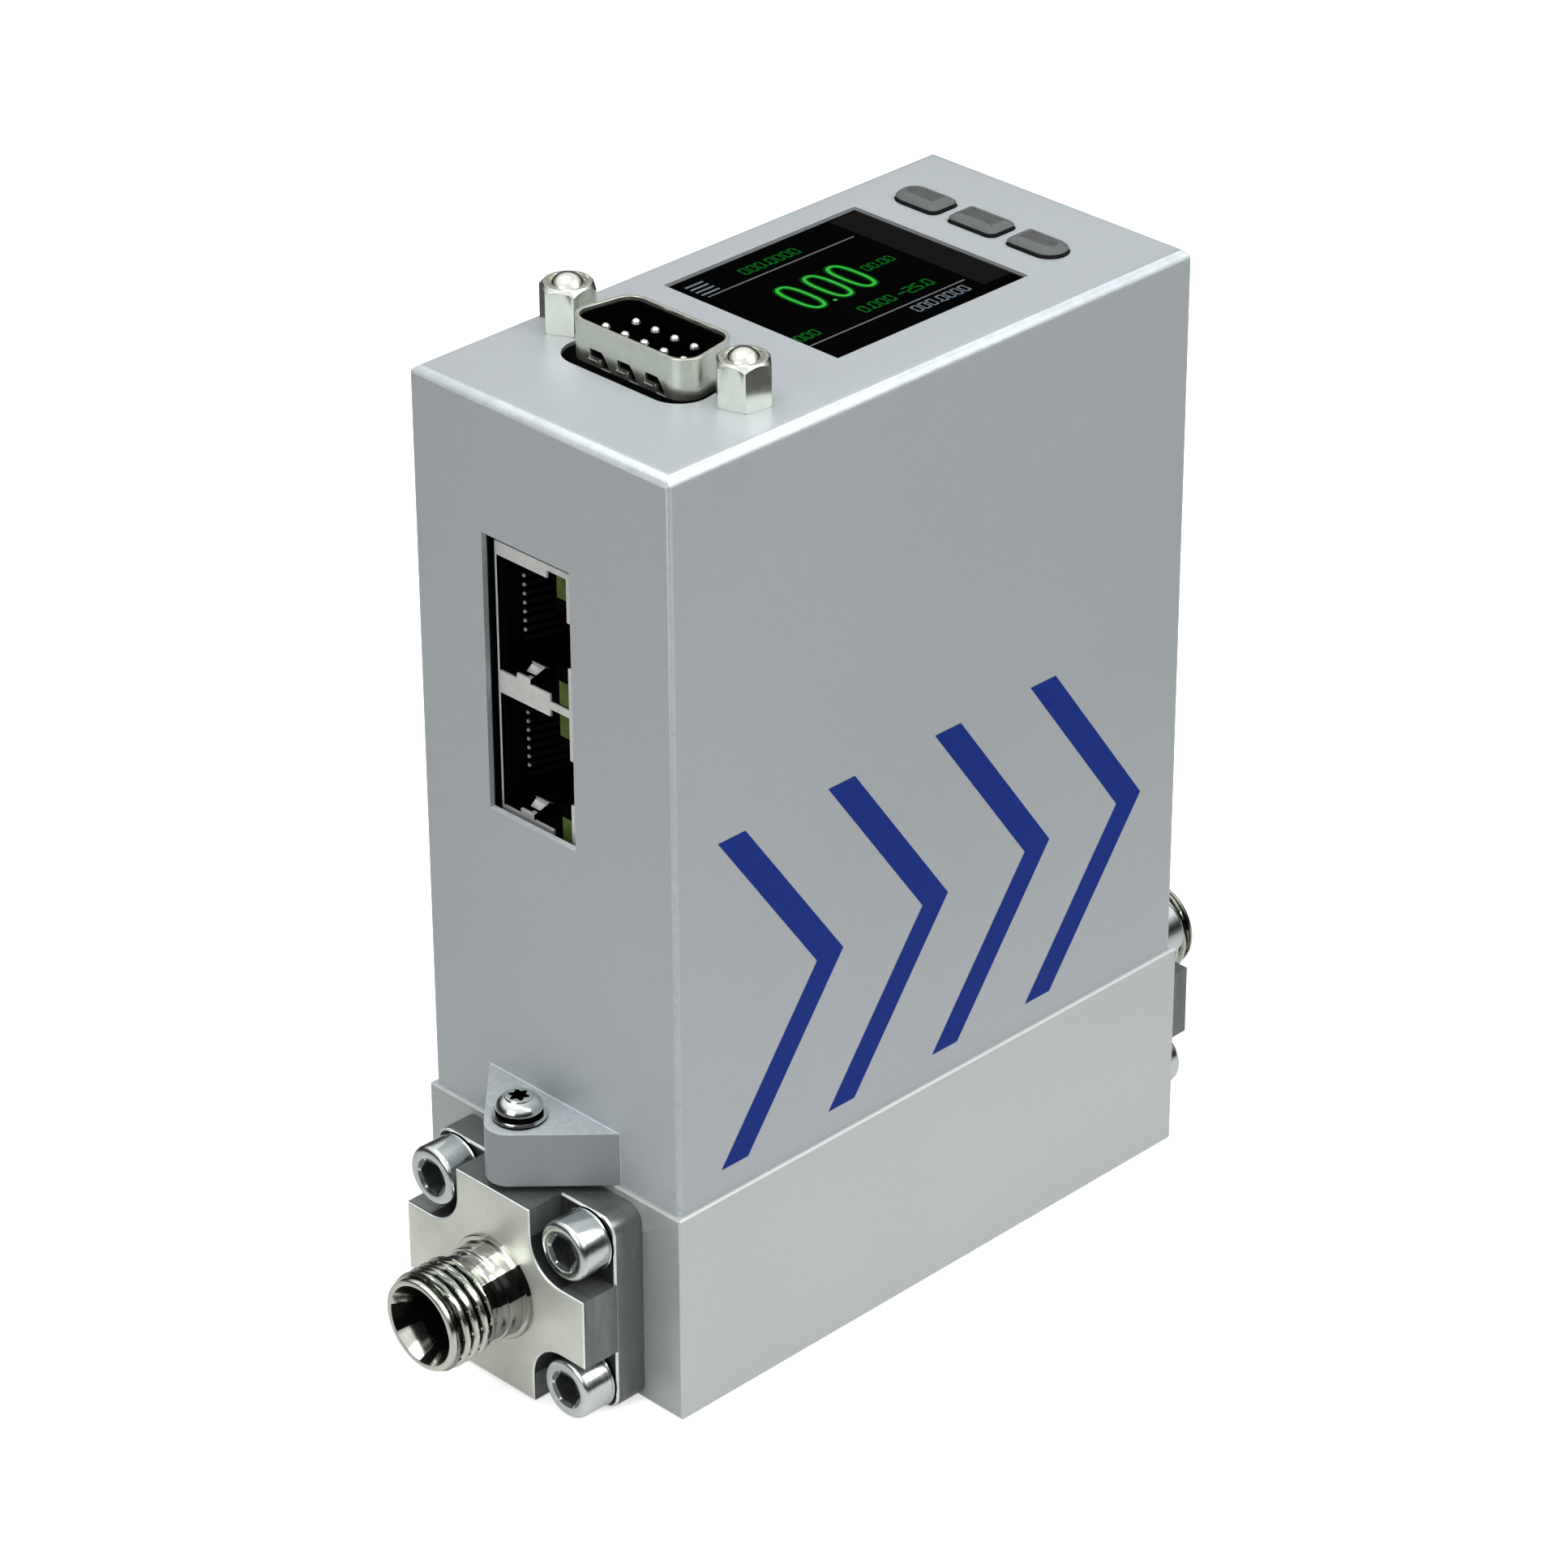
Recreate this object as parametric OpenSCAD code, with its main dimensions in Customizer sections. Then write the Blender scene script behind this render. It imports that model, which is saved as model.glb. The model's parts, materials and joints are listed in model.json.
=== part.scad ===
// Gas mass flow controller: a ported metal base with flanged tube fittings, and a painted
// cover that holds the sensor, the control valve, the boards, the connectors and a display.
// +X is the direction of flow, +Z is up, and the origin is the centre of the base's underside.

/* [Base block] */
// Length of the base along the flow
base_l = 76.2; // [74:0.1:90]
// Width of the base across the flow
base_w = 38.1; // [37.6:0.1:50]
// Height of the base
base_h = 24.8; // [24.6:0.1:32]
// Chamfer along the edges of the base
base_chamfer = 0.2; // [0.1:0.1:0.8]
// Radius of the flow bores
flow_r = 2.3; // [1.8:0.1:2.6]
// Spacing of the mounting holes along the flow
mount_dx = 50; // [44:1:56]
// Spacing of the mounting holes across the flow
mount_dy = 28; // [26:1:30]
// Radius of a mounting hole
mount_r = 1.65; // [1.2:0.05:2]
// Depth of a mounting hole
mount_depth = 6; // [4:0.5:7]

/* [Cover] */
// Height of the cover
cover_h = 84; // [83:0.5:100]
// Setback of the cover from the sides of the base
cover_inset = 0.5; // [0.3:0.1:0.8]
// Thickness of the side walls
wall_t = 1.5; // [1.2:0.1:1.8]
// Thickness of the top
top_t = 1.5; // [1.2:0.1:2]
// Radius along the top edges
edge_r = 1.4; // [0.6:0.1:1.4]
// Radius of the upright edges
corner_r = 0.6; // [0.3:0.1:1]

/* [Cover ears] */
// Width of an ear where it meets the end wall
ear_w = 19.7; // [17:0.1:22]
// Reach of an ear from the end wall
ear_reach = 9; // [8.4:0.1:9.4]
// Radius of an ear's nose
ear_nose_r = 2.6; // [2:0.1:3]
// Height of an ear
ear_h = 6.3; // [4:0.1:8]
// Distance of the ear screw from the end wall
ear_screw_d = 4.9; // [4.6:0.1:5.2]

/* [Flanged fittings] */
// Width of the flange across the flow
flange_w = 27; // [26.6:0.1:30]
// Gap between the underside and the flange's lower edge
flange_low = 0.2; // [0.1:0.1:0.6]
// Gap between the flange's upper edge and the ear
ear_gap = 0.8; // [0.5:0.1:1.1]
// Thickness of the flange's back plate
plate_t = 4; // [3:0.1:5]
// Thickness of the raised block on the back plate
block_t = 4.6; // [4.3:0.1:5.6]
// Corner radius of the back plate
plate_r = 2; // [1:0.1:3]
// Radius of the relief round each screw head
relief_r = 4.4; // [4.2:0.1:4.7]
// Length of the threaded stub
stub_l = 10.5; // [9.5:0.1:12]
// Outer radius of the stub's thread
thread_r = 5.55; // [5.2:0.05:5.6]
// Length of the thread
thread_l = 6; // [5:0.1:6.5]
// Radius of the tube socket
socket_r = 3.2; // [2.9:0.05:3.4]
// Depth of the tube socket behind its cone
socket_l = 5; // [4:0.1:7]

/* [Screws] */
// Spacing of the flange screws across the flow
screw_dy = 20; // [19.6:0.1:20.2]
// Distance of a flange screw from the flange's upper or lower edge
screw_edge = 3.35; // [3.2:0.05:3.6]
// Thread radius of a flange screw
cap_r = 2; // [1.5:0.1:2]
// Head radius of a flange screw
cap_head_r = 3.4; // [3:0.1:3.5]
// Head height of a flange screw
cap_head_h = 3.6; // [3:0.1:3.7]
// Length of a flange screw under its head
cap_l = 12; // [10:0.5:13]
// Thickness of a flange washer
washer_t = 0.5; // [0.3:0.1:0.8]
// Thread radius of a cover screw
pan_r = 1.5; // [1:0.1:1.5]
// Head radius of a cover screw
pan_head_r = 2.5; // [2.3:0.1:2.7]
// Head height of a cover screw
pan_head_h = 2; // [1.4:0.1:2.4]
// Length of a cover screw under its head
pan_l = 12; // [9:0.5:13]

/* [Serial connector] */
// Distance of the connector's centre from the inlet end wall of the cover
serial_x = 17.3; // [17:0.1:17.6]
// Length of the connector's shell across the flow
shell_w = 16.9; // [16.6:0.1:17.2]
// Width of the connector's shell along the flow
shell_d = 8.36; // [8.1:0.1:8.6]
// Height of the shell above the cover
shell_h = 4; // [3.5:0.1:5]
// Wall thickness of the shell
shell_t = 0.45; // [0.3:0.05:0.6]
// Spacing of the two jackscrews
jack_pitch = 25; // [24.8:0.1:25.4]
// Width across the flats of a jackscrew
jack_af = 5.3; // [4.8:0.1:5.5]
// Height of a jackscrew's hexagon
jack_h = 4.9; // [4:0.1:6]
// Pitch of the pins
pin_pitch = 2.77; // [2.7:0.01:2.8]
// Spacing of the two rows of pins
pin_row = 2.84; // [2.7:0.01:3]

/* [Network jacks] */
// Height of the jacks' opening in the end wall, above the cover's lower edge
net_open_z = 37.5; // [37:0.1:38]
// Height of the opening
net_open_h = 31.4; // [31:0.1:31.8]
// Width of the opening
net_open_w = 12.7; // [12.4:0.1:12.8]
// Distance between the two jacks
net_pitch = 15.6; // [15.4:0.1:15.8]
// Height of a jack's cavity
net_cavity_h = 12.4; // [12:0.1:12.6]
// Depth of a jack's cavity
net_cavity_d = 12; // [10:0.5:13]
// Length of the pair of jacks
net_l = 17; // [16:0.5:19]

/* [Display and keys] */
// Distance between the connector's shell and the window
window_gap = 9.22; // [8.8:0.02:9.8]
// Distance between the window and the keys
key_window_gap = 3.9; // [3.3:0.1:4.4]
// Width of the window across the flow
window_w = 24.9; // [24:0.1:25.4]
// Depth of the window's face below the cover
window_recess = 0.4; // [0.2:0.1:1]
// Distance of the keys' centre line from the outlet end wall of the cover
key_x = 10.8; // [10.4:0.1:11.3]
// Distance between neighbouring keys
key_pitch = 8.3; // [8:0.1:8.5]
// Length of a key across the flow
key_w = 6.6; // [6.2:0.1:6.7]
// Width of a key along the flow
key_d = 4; // [3.7:0.1:4.3]
// Height of a key above the cover
key_h = 1; // [0.8:0.1:1.6]
// Travel of a key
key_travel = 0.6; // [0.3:0.1:0.8]

/* [Valve] */
// Distance of the valve's axis from the middle of the base
valve_x = 14; // [13:0.5:15]
// Radius of the plunger
plunger_r = 3.5; // [3.2:0.1:3.6]
// Lift of the plunger
plunger_lift = 0.4; // [0.2:0.1:0.5]
// Radius of the orifice
orifice_r = 0.6; // [0.3:0.1:0.8]
// Outer radius of the coil
coil_r = 7.6; // [7:0.1:7.6]
// Height of the coil
coil_h = 18; // [16:0.5:20]

/* [Flow path] */
// Radius of the chamber that holds the flow element
chamber_r = 6; // [5.5:0.1:6.2]
// Depth of the chamber from the inlet end
chamber_l = 27; // [25:0.5:28]
// Length of the flow element
element_l = 12; // [10:0.5:13]
// Number of slots round the flow element
element_slots = 16; // [12:2:20]

/* [Hidden] */
eps = 0.05;
slip = 0.05;
loose = 0.3;
end_x = base_l/2;
cover_l = base_l - 2*cover_inset;
cover_w = base_w - 2*cover_inset;
wall_x = cover_l/2;
cover_z = base_h + cover_h;
under_z = cover_z - top_t;
inner_x = wall_x - wall_t;
inner_y = cover_w/2 - wall_t;
feature_inset = 15.8;
feature_y = inner_y - feature_inset;
flange_h = base_h - ear_gap - flange_low;
flange_top_z = flange_low + flange_h;
port_z = flange_low + flange_h/2;
screw_dz = flange_h - 2*screw_edge;
seal_r_in = 6.6;
seal_r_out = 8.2;
seal_t = 1.2;
tap_slip = 0.05;
ear_screw_x = wall_x + ear_screw_d;
ear_tap_depth = pan_l - ear_h + 1;
pan_washer_t = 0.6;
pan_washer_r = 2.9;
cap_washer_r = 3.6;
jack_y = [feature_y - jack_pitch/2, feature_y + jack_pitch/2];
serial_cx = serial_x - wall_x;
jack_hole_r = 1.7;
jack_stud_r = 1.45;
jack_turn = [49, 58];
serial_gap_d = 1.7;
serial_gap_w = 1;
serial_flange_t = 0.8;
serial_flange_z = under_z - serial_flange_t;
serial_flange_w = jack_pitch + 5.8;
serial_flange_d = 12.4;
serial_nut_t = 2.4;
serial_nut_af = 5.5;
shell_top_z = cover_z + shell_h;
shell_slant = 10;
shell_corner_r = 2.4;
arc_steps = 10;
gasket_sink = 0.4;
notch_pitch = 3.95;
pin_r = 0.5;
pin_tip_z = shell_top_z - 1.05;
serial_floor_z = under_z + 1.3;
serial_liner_t = 0.3;
serial_liner_z = shell_top_z - 0.4;
window_t = 1;
window_lip = 1.6;
window_x = [serial_cx + shell_d/2 + window_gap, wall_x - key_x - key_d/2 - key_window_gap];
window_l = window_x[1] - window_x[0];
window_cx = (window_x[0] + window_x[1])/2;
window_cy = feature_y + 0.25;
module_t = 2.6;
board_t = 1.6;
front_board_top = under_z - window_t - module_t;
front_board_z = front_board_top - board_t;
key_cx = wall_x - key_x;
key_gap = 0.15;
key_skirt_t = 0.9;
key_skirt_w = 0.55;
key_skirt_z = under_z - loose - key_skirt_t;
switch_t = key_skirt_z - key_travel - 0.1 - front_board_top;
key_round_r = 0.9;
crown_r = 30;
post_r = 2.2;
post_screw_r = 1;
post_x = [4 - inner_x, inner_x - 3.6];
post_y = inner_y - 3.45;
bobbin_r = coil_r + 0.4;
main_board_y = bobbin_r + loose;
main_board_x = [0.9 - inner_x, inner_x - 1.1];
main_board_z = base_h + 6;
main_board_top = front_board_z - 5.1;
net_cz = base_h + net_open_z + net_open_h/2 - 1.5;
net_open_y = [main_board_y + 0.2 - net_open_w, main_board_y + 0.2];
net_front_x = -inner_x;
net_skin = 0.3;
net_y0 = main_board_y - 12.2;
net_margin = 1.9;
net_h = net_pitch + net_cavity_h + 2*net_margin;
net_cavity_y = [net_y0 + 3.7, main_board_y - 1];
net_led_y = [net_y0 + 0.6, net_y0 + 3.5];
net_led_z = [4.7, 7.3];
net_notch_w = 5.1;
net_face_y = [net_y0 + 1.8, net_y0 + 4.55, main_board_y - 0.3];
net_open_half = net_cavity_h/2 + 0.35;
net_tab_y = [2.5, 4.5];
net_lip = 0.7;
net_relief = 0.8;
net_led_l = 9;
net_contact_pitch = 1.02;
pocket_r = 8.5;
pocket_low_r = 6;
seat_r = 4;
seat_t = 2.3;
seat_wall = 0.6;
seat_z = port_z + flow_r + seat_wall;
pocket_floor_z = seat_z + seat_t;
pocket_step_z = pocket_floor_z + 3;
seat_lip_z = pocket_floor_z + 0.7;
seat_lip_r = 1.4;
guide_t = 0.55;
guide_r = plunger_r + slip;
tube_r = guide_r + guide_t;
plunger_z = seat_lip_z + 0.2;
disc_r = 1.8;
disc_top_z = plunger_z + 1.2;
yoke_t = 2;
bobbin_t = 1;
bobbin_wall = 0.7;
bobbin_z = base_h + yoke_t + 0.2;
bobbin_h = coil_h + 2*bobbin_t;
yoke_top_z = bobbin_z + bobbin_h + 0.2;
core_z = bobbin_z + bobbin_h - 4;
plunger_top = core_z - plunger_lift - loose;
spring_r = 1.2;
spring_wire_r = 0.2;
spring_bore_r = spring_r + spring_wire_r + loose;
spring_bore_z = plunger_top - 8;
spring_turns = 7;
stub_thread_r = 2.5;
yoke_x = bobbin_r + 0.3;
yoke_foot = 6;
yoke_w = 16;
yoke_screw_x = yoke_x + yoke_t + yoke_foot/2;
nut_t = 3;
nut_af = 9;
element_x = -end_x + seal_t + 9;
sensor_ports = [element_x - 2.2, element_x + element_l + 2.2];
sensor_cx = (sensor_ports[0] + sensor_ports[1])/2;
sensor_block_l = sensor_ports[1] - sensor_ports[0] + 8;
sensor_block_w = 13;
sensor_block_h = 5;
sensor_port_r = 0.8;
small_screw_r = 1.2;
small_head_r = 1.9;
small_head_h = 1.5;
sensor_screw_y = sensor_block_w/2 - 2;
sensor_board_t = 1;
sensor_chip_l = 4.6;
sensor_recess = 2.6;
sensor_seal_r = 2.2;
sensor_seal_t = 0.9;
sensor_screw_l = sensor_block_h + sensor_board_t + 4;
bracket_x = [14.1 - end_x, valve_x + yoke_x + yoke_t + 4.7];
bracket_w = 6;
bracket_t = 1.2;
bracket_h = 14;
bracket_y = main_board_y + board_t;
bracket_foot = inner_y - loose - bracket_y;
bracket_foot_y = bracket_y + bracket_t + small_head_r + 0.1;
bracket_screw_z = main_board_z + 5;
inner_tap_depth = 5;

// ---- Shared shapes ----

// Rectangle with round corners, centred on the origin
module rounded_rect(size, r) {
    square([size[0] - 2*r, size[1]], center = true);
    square([size[0], size[1] - 2*r], center = true);
    for (sx = [-1, 1], sy = [-1, 1])
        translate([sx*(size[0]/2 - r), sy*(size[1]/2 - r)]) circle(r = r, $fn = 48);
}

// Rectangle standing on the x axis, with its two upper corners round
module arched_rect(w, h, r) {
    translate([-w/2, 0]) square([w, h - r]);
    translate([-w/2 + r, 0]) square([w - 2*r, h]);
    for (s = [-1, 1]) translate([s*(w/2 - r), h - r]) circle(r = r, $fn = 48);
}

// Rectangle with its corners cut at 45 degrees, centred on the origin
module cut_rect(size, c) {
    x = size[0]/2;
    y = size[1]/2;
    polygon([[x - c, -y], [x, -y + c], [x, y - c], [x - c, y],
             [c - x, y], [-x, y - c], [-x, c - y], [c - x, -y]]);
}

// Block standing on z = 0 with every edge cut at 45 degrees
module cut_block(l, w, h, c) {
    intersection() {
        linear_extrude(h) cut_rect([l, w], c);
        translate([0, w/2, h/2]) rotate([90, 0, 0]) linear_extrude(w) cut_rect([l, h], c);
        translate([-l/2, 0, h/2]) rotate([90, 0, 90]) linear_extrude(l) cut_rect([w, h], c);
    }
}

// Box from one corner to the other
module span(a, b) {
    translate(a) cube([b[0] - a[0], b[1] - a[1], b[2] - a[2]]);
}

// Washer or ring standing on z = 0
module ring(r_in, r_out, h) {
    difference() {
        cylinder(r = r_out, h = h, $fn = 64);
        translate([0, 0, -eps]) cylinder(r = r_in, h = h + 2*eps, $fn = 64);
    }
}

// Hexagonal bar standing on z = 0, measured across its flats
module hex_bar(af, h) {
    cylinder(r = af/sqrt(3), h = h, $fn = 6);
}

// Pan-head screw with its head above z = 0 and its shank below
module pan_screw(r, l, head_r, head_h) {
    recess_r = 0.42*head_r;
    difference() {
        rotate_extrude($fn = 48) polygon([
            [0, -l], [0.7*r, -l], [r, -l + 0.5*r], [r, 0], [head_r, 0],
            [head_r, 0.45*head_h], [0.88*head_r, 0.78*head_h], [0.6*head_r, head_h], [0, head_h]]);
        translate([0, 0, 0.45*head_h]) hex_bar(2*recess_r, head_h);
    }
}

// Socket-head cap screw with its head above z = 0 and its shank below
module cap_screw() {
    rim = 0.35;
    crown = 0.6;
    difference() {
        rotate_extrude($fn = 48) polygon([
            [0, -cap_l], [cap_r - rim, -cap_l], [cap_r, -cap_l + rim], [cap_r, 0],
            [cap_head_r, 0], [cap_head_r, cap_head_h - crown],
            [cap_head_r - 0.3*crown, cap_head_h - 0.3*crown], [cap_head_r - crown, cap_head_h],
            [0, cap_head_h]]);
        translate([0, 0, cap_head_h/2]) hex_bar(1.5*cap_r, cap_head_h);
    }
}

// Puts its children on an end of the base at the flow axis, with their +Z pointing outwards
module at_end(side) {
    translate([side*end_x, 0, port_z]) rotate([0, side*90, 0]) children();
}

// Puts its children at each screw of a flange, in the frame of at_end
module at_flange_screws() {
    for (sz = [-1, 1], sy = [-1, 1]) translate([sz*screw_dz/2, sy*screw_dy/2, 0]) children();
}

// Tapped hole down from z = 0 for one of the small inner screws
module inner_tap() {
    translate([0, 0, -inner_tap_depth])
        cylinder(r = small_screw_r + tap_slip, h = inner_tap_depth + 1, $fn = 24);
}

// ---- Base and flow path ----

module base_block() {
    bore_end = valve_x - (seat_r + pocket_low_r)/2;
    feed_r = (pocket_low_r - seat_r)/2 - 2*slip;
    color([0.75, 0.76, 0.76]) difference() {
        cut_block(base_l, base_w, base_h, base_chamfer);
        for (side = [-1, 1]) at_end(side) {
            translate([0, 0, -seal_t]) cylinder(r = seal_r_out + slip, h = seal_t + 1, $fn = 64);
            translate([0, 0, -cap_l + plate_t - 1]) at_flange_screws()
                cylinder(r = cap_r + tap_slip, h = cap_l, $fn = 32);
        }
        at_end(-1) translate([0, 0, -chamber_l]) cylinder(r = chamber_r, h = chamber_l, $fn = 64);
        translate([-end_x + 1, 0, port_z]) rotate([0, 90, 0])
            cylinder(r = flow_r, h = end_x - 1 + bore_end + feed_r, $fn = 48);
        translate([valve_x - 1.6, 0, port_z]) rotate([0, 90, 0])
            cylinder(r = flow_r, h = end_x, $fn = 48);
        translate([bore_end, 0, port_z]) cylinder(r = feed_r, h = base_h, $fn = 32);
        translate([valve_x, 0, pocket_step_z]) cylinder(r = pocket_r, h = base_h, $fn = 64);
        translate([valve_x, 0, pocket_floor_z]) cylinder(r = pocket_low_r, h = base_h, $fn = 64);
        translate([valve_x, 0, seat_z]) cylinder(r = seat_r + slip, h = base_h, $fn = 48);
        translate([valve_x, 0, port_z]) cylinder(r = 2*orifice_r, h = base_h, $fn = 32);
        for (x = sensor_ports) translate([x, 0, port_z])
            cylinder(r = sensor_port_r, h = base_h, $fn = 32);
        for (sx = [-1, 1], sy = [-1, 1]) translate([sx*mount_dx/2, sy*mount_dy/2, -1])
            cylinder(r = mount_r, h = mount_depth + 1, $fn = 32);
        for (s = [-1, 1]) translate([sensor_cx, s*sensor_screw_y, base_h]) inner_tap();
        for (s = [-1, 1]) translate([valve_x + s*yoke_screw_x, 0, base_h]) inner_tap();
        for (x = bracket_x) translate([x, bracket_foot_y, base_h]) inner_tap();
    }
}

module inlet_screen() {
    screen_t = 1.5;
    color([0.6, 0.58, 0.52]) at_end(-1) translate([0, 0, -seal_t - screen_t])
        cylinder(r = chamber_r - slip, h = screen_t, $fn = 64);
}

// Laminar flow element: a plug whose narrow slots split the stream evenly
module flow_element() {
    slot_w = 0.6;
    slot_d = 1.1;
    core_bore_r = 1.2;
    color([0.7, 0.7, 0.68]) translate([element_x, 0, port_z]) rotate([0, 90, 0]) difference() {
        cylinder(r = chamber_r - slip, h = element_l, $fn = 64);
        for (i = [0:element_slots - 1]) rotate(i*360/element_slots)
            translate([chamber_r - slip - slot_d, -slot_w/2, -1])
                cube([slot_d + 1, slot_w, element_l + 2]);
        translate([0, 0, -1]) cylinder(r = core_bore_r, h = element_l/2, $fn = 32);
    }
}

module end_seal(side) {
    color([0.2, 0.2, 0.22]) at_end(side) translate([0, 0, -seal_t])
        ring(seal_r_in, seal_r_out, seal_t);
}

module inlet_seal() end_seal(-1);
module outlet_seal() end_seal(1);

// ---- Fittings ----

// Outline of the raised block: the flange's rectangle relieved round each screw head
module block_outline() {
    difference() {
        square([flange_h, flange_w], center = true);
        for (sz = [-1, 1], sy = [-1, 1]) translate([sz*screw_dz/2, sy*screw_dy/2]) {
            circle(r = relief_r, $fn = 64);
            translate([sz*(flange_h/2 - relief_r), sy*flange_w/2])
                square([flange_h, flange_w], center = true);
            translate([sz*flange_h/2, sy*(flange_w/2 - relief_r)])
                square([flange_h, flange_w], center = true);
        }
    }
}

// Turned stub, with its collar, neck, relief groove, thread and coned mouth
module stub() {
    z0 = plate_t + block_t - 1;
    z1 = plate_t + block_t + stub_l;
    collar_r = thread_r + 0.25;
    neck_r = thread_r - 0.55;
    groove_r = thread_r - 0.85;
    rotate_extrude($fn = 72) polygon([
        [0, z0], [collar_r, z0], [collar_r, z0 + 1.5], [neck_r, z0 + 1.8],
        [neck_r, z1 - thread_l - 0.9], [groove_r, z1 - thread_l - 0.7],
        [groove_r, z1 - thread_l], [thread_r, z1 - thread_l + 0.4], [thread_r, z1 - 0.7],
        [thread_r - 0.7, z1], [0, z1]]);
}

module fitting(side) {
    face_z = plate_t + block_t + stub_l;
    mouth_r = thread_r - 1.05;
    cone_l = 2.6;
    color([0.78, 0.77, 0.73]) difference() {
        at_end(side) difference() {
            union() {
                linear_extrude(plate_t) rounded_rect([flange_h, flange_w], plate_r);
                linear_extrude(plate_t + block_t) block_outline();
                stub();
            }
            at_flange_screws() translate([0, 0, -1])
                cylinder(r = cap_r + 0.25, h = plate_t + 2, $fn = 32);
            translate([0, 0, -1]) cylinder(r = flow_r, h = face_z + 2, $fn = 48);
            translate([0, 0, face_z - cone_l - socket_l])
                cylinder(r = socket_r, h = socket_l + 1, $fn = 48);
            translate([0, 0, face_z - cone_l])
                cylinder(r1 = socket_r, r2 = mouth_r, h = cone_l, $fn = 48);
            translate([0, 0, face_z - eps]) cylinder(r = mouth_r, h = 1, $fn = 48);
        }
        translate([side*ear_screw_x, 0, flange_top_z - ear_tap_depth])
            cylinder(r = pan_r + tap_slip, h = ear_tap_depth + 1, $fn = 32);
    }
}

module inlet_fitting() fitting(-1);
module outlet_fitting() fitting(1);

module flange_washers(side) {
    color([0.7, 0.7, 0.7]) at_end(side) translate([0, 0, plate_t]) at_flange_screws()
        ring(cap_r + 0.15, cap_washer_r, washer_t);
}

module flange_screws(side) {
    color([0.82, 0.82, 0.82]) at_end(side) translate([0, 0, plate_t + washer_t])
        at_flange_screws() cap_screw();
}

module inlet_washers() flange_washers(-1);
module outlet_washers() flange_washers(1);
module inlet_screws() flange_screws(-1);
module outlet_screws() flange_screws(1);

// ---- Cover ----

module cover_body() {
    intersection() {
        linear_extrude(cover_h) rounded_rect([cover_l, cover_w], corner_r);
        translate([0, cover_w/2, 0]) rotate([90, 0, 0])
            linear_extrude(cover_w) arched_rect(cover_l, cover_h, edge_r);
        translate([-cover_l/2, 0, 0]) rotate([90, 0, 90])
            linear_extrude(cover_l) arched_rect(cover_w, cover_h, edge_r);
    }
}

// Point where the side of an ear, drawn from its root, touches the round nose
function nose_point(cx, r) =
    let (a = atan2(ear_w/2, -cx), b = acos(r/norm([cx, ear_w/2])))
    [cx + r*cos(a - b), r*sin(a - b)];

// Ear in plan, reaching along +X from the end wall at x = 0
module ear_outline() {
    cx = ear_reach - ear_nose_r;
    p = nose_point(cx, ear_nose_r);
    polygon([[-wall_t/2, -ear_w/2], [0, -ear_w/2], [p[0], -p[1]], [cx, 0], [p[0], p[1]],
             [0, ear_w/2], [-wall_t/2, ear_w/2]]);
    translate([cx, 0]) circle(r = ear_nose_r, $fn = 64);
}

// Points of an arc round a centre, from one angle to another
function arc(centre, r, from, to) =
    [for (i = [0:arc_steps]) let (a = from + (to - from)*i/arc_steps) centre + r*[cos(a), sin(a)]];

// Outline of the connector's shell, wide towards -X, whose two ends lean in towards +X
module d_outline(grow_d, grow_w) {
    w = shell_w/2 + grow_w;
    d = shell_d/2 + grow_d;
    r = shell_corner_r + grow_w;
    lean = 2*(d - r)*tan(shell_slant);
    side_a = 90 - shell_slant;
    polygon(concat(arc([r - d, w - r], r, 180, side_a), arc([d - r, w - r - lean], r, side_a, 0),
                   arc([d - r, r - w + lean], r, 0, -side_a), arc([r - d, r - w], r, -side_a, -180)));
}

// Outline of a key: end is 0 for the middle key, and 1 or -1 where its +Y or -Y end is round
module key_outline(end, grow) {
    d = key_d + 2*grow;
    w = key_w + 2*grow;
    r = key_round_r + grow;
    if (end == 0) {
        rounded_rect([d, w], r);
    } else {
        translate([0, end*(w/2 - d/2)]) circle(r = d/2, $fn = 64);
        translate([0, end*(r - d/2)/2]) square([d, w - r - d/2], center = true);
        translate([0, -end*d/4]) square([d - 2*r, w - d/2], center = true);
        for (s = [-1, 1]) translate([s*(d/2 - r), end*(r - w/2)]) circle(r = r, $fn = 48);
    }
}

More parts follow.
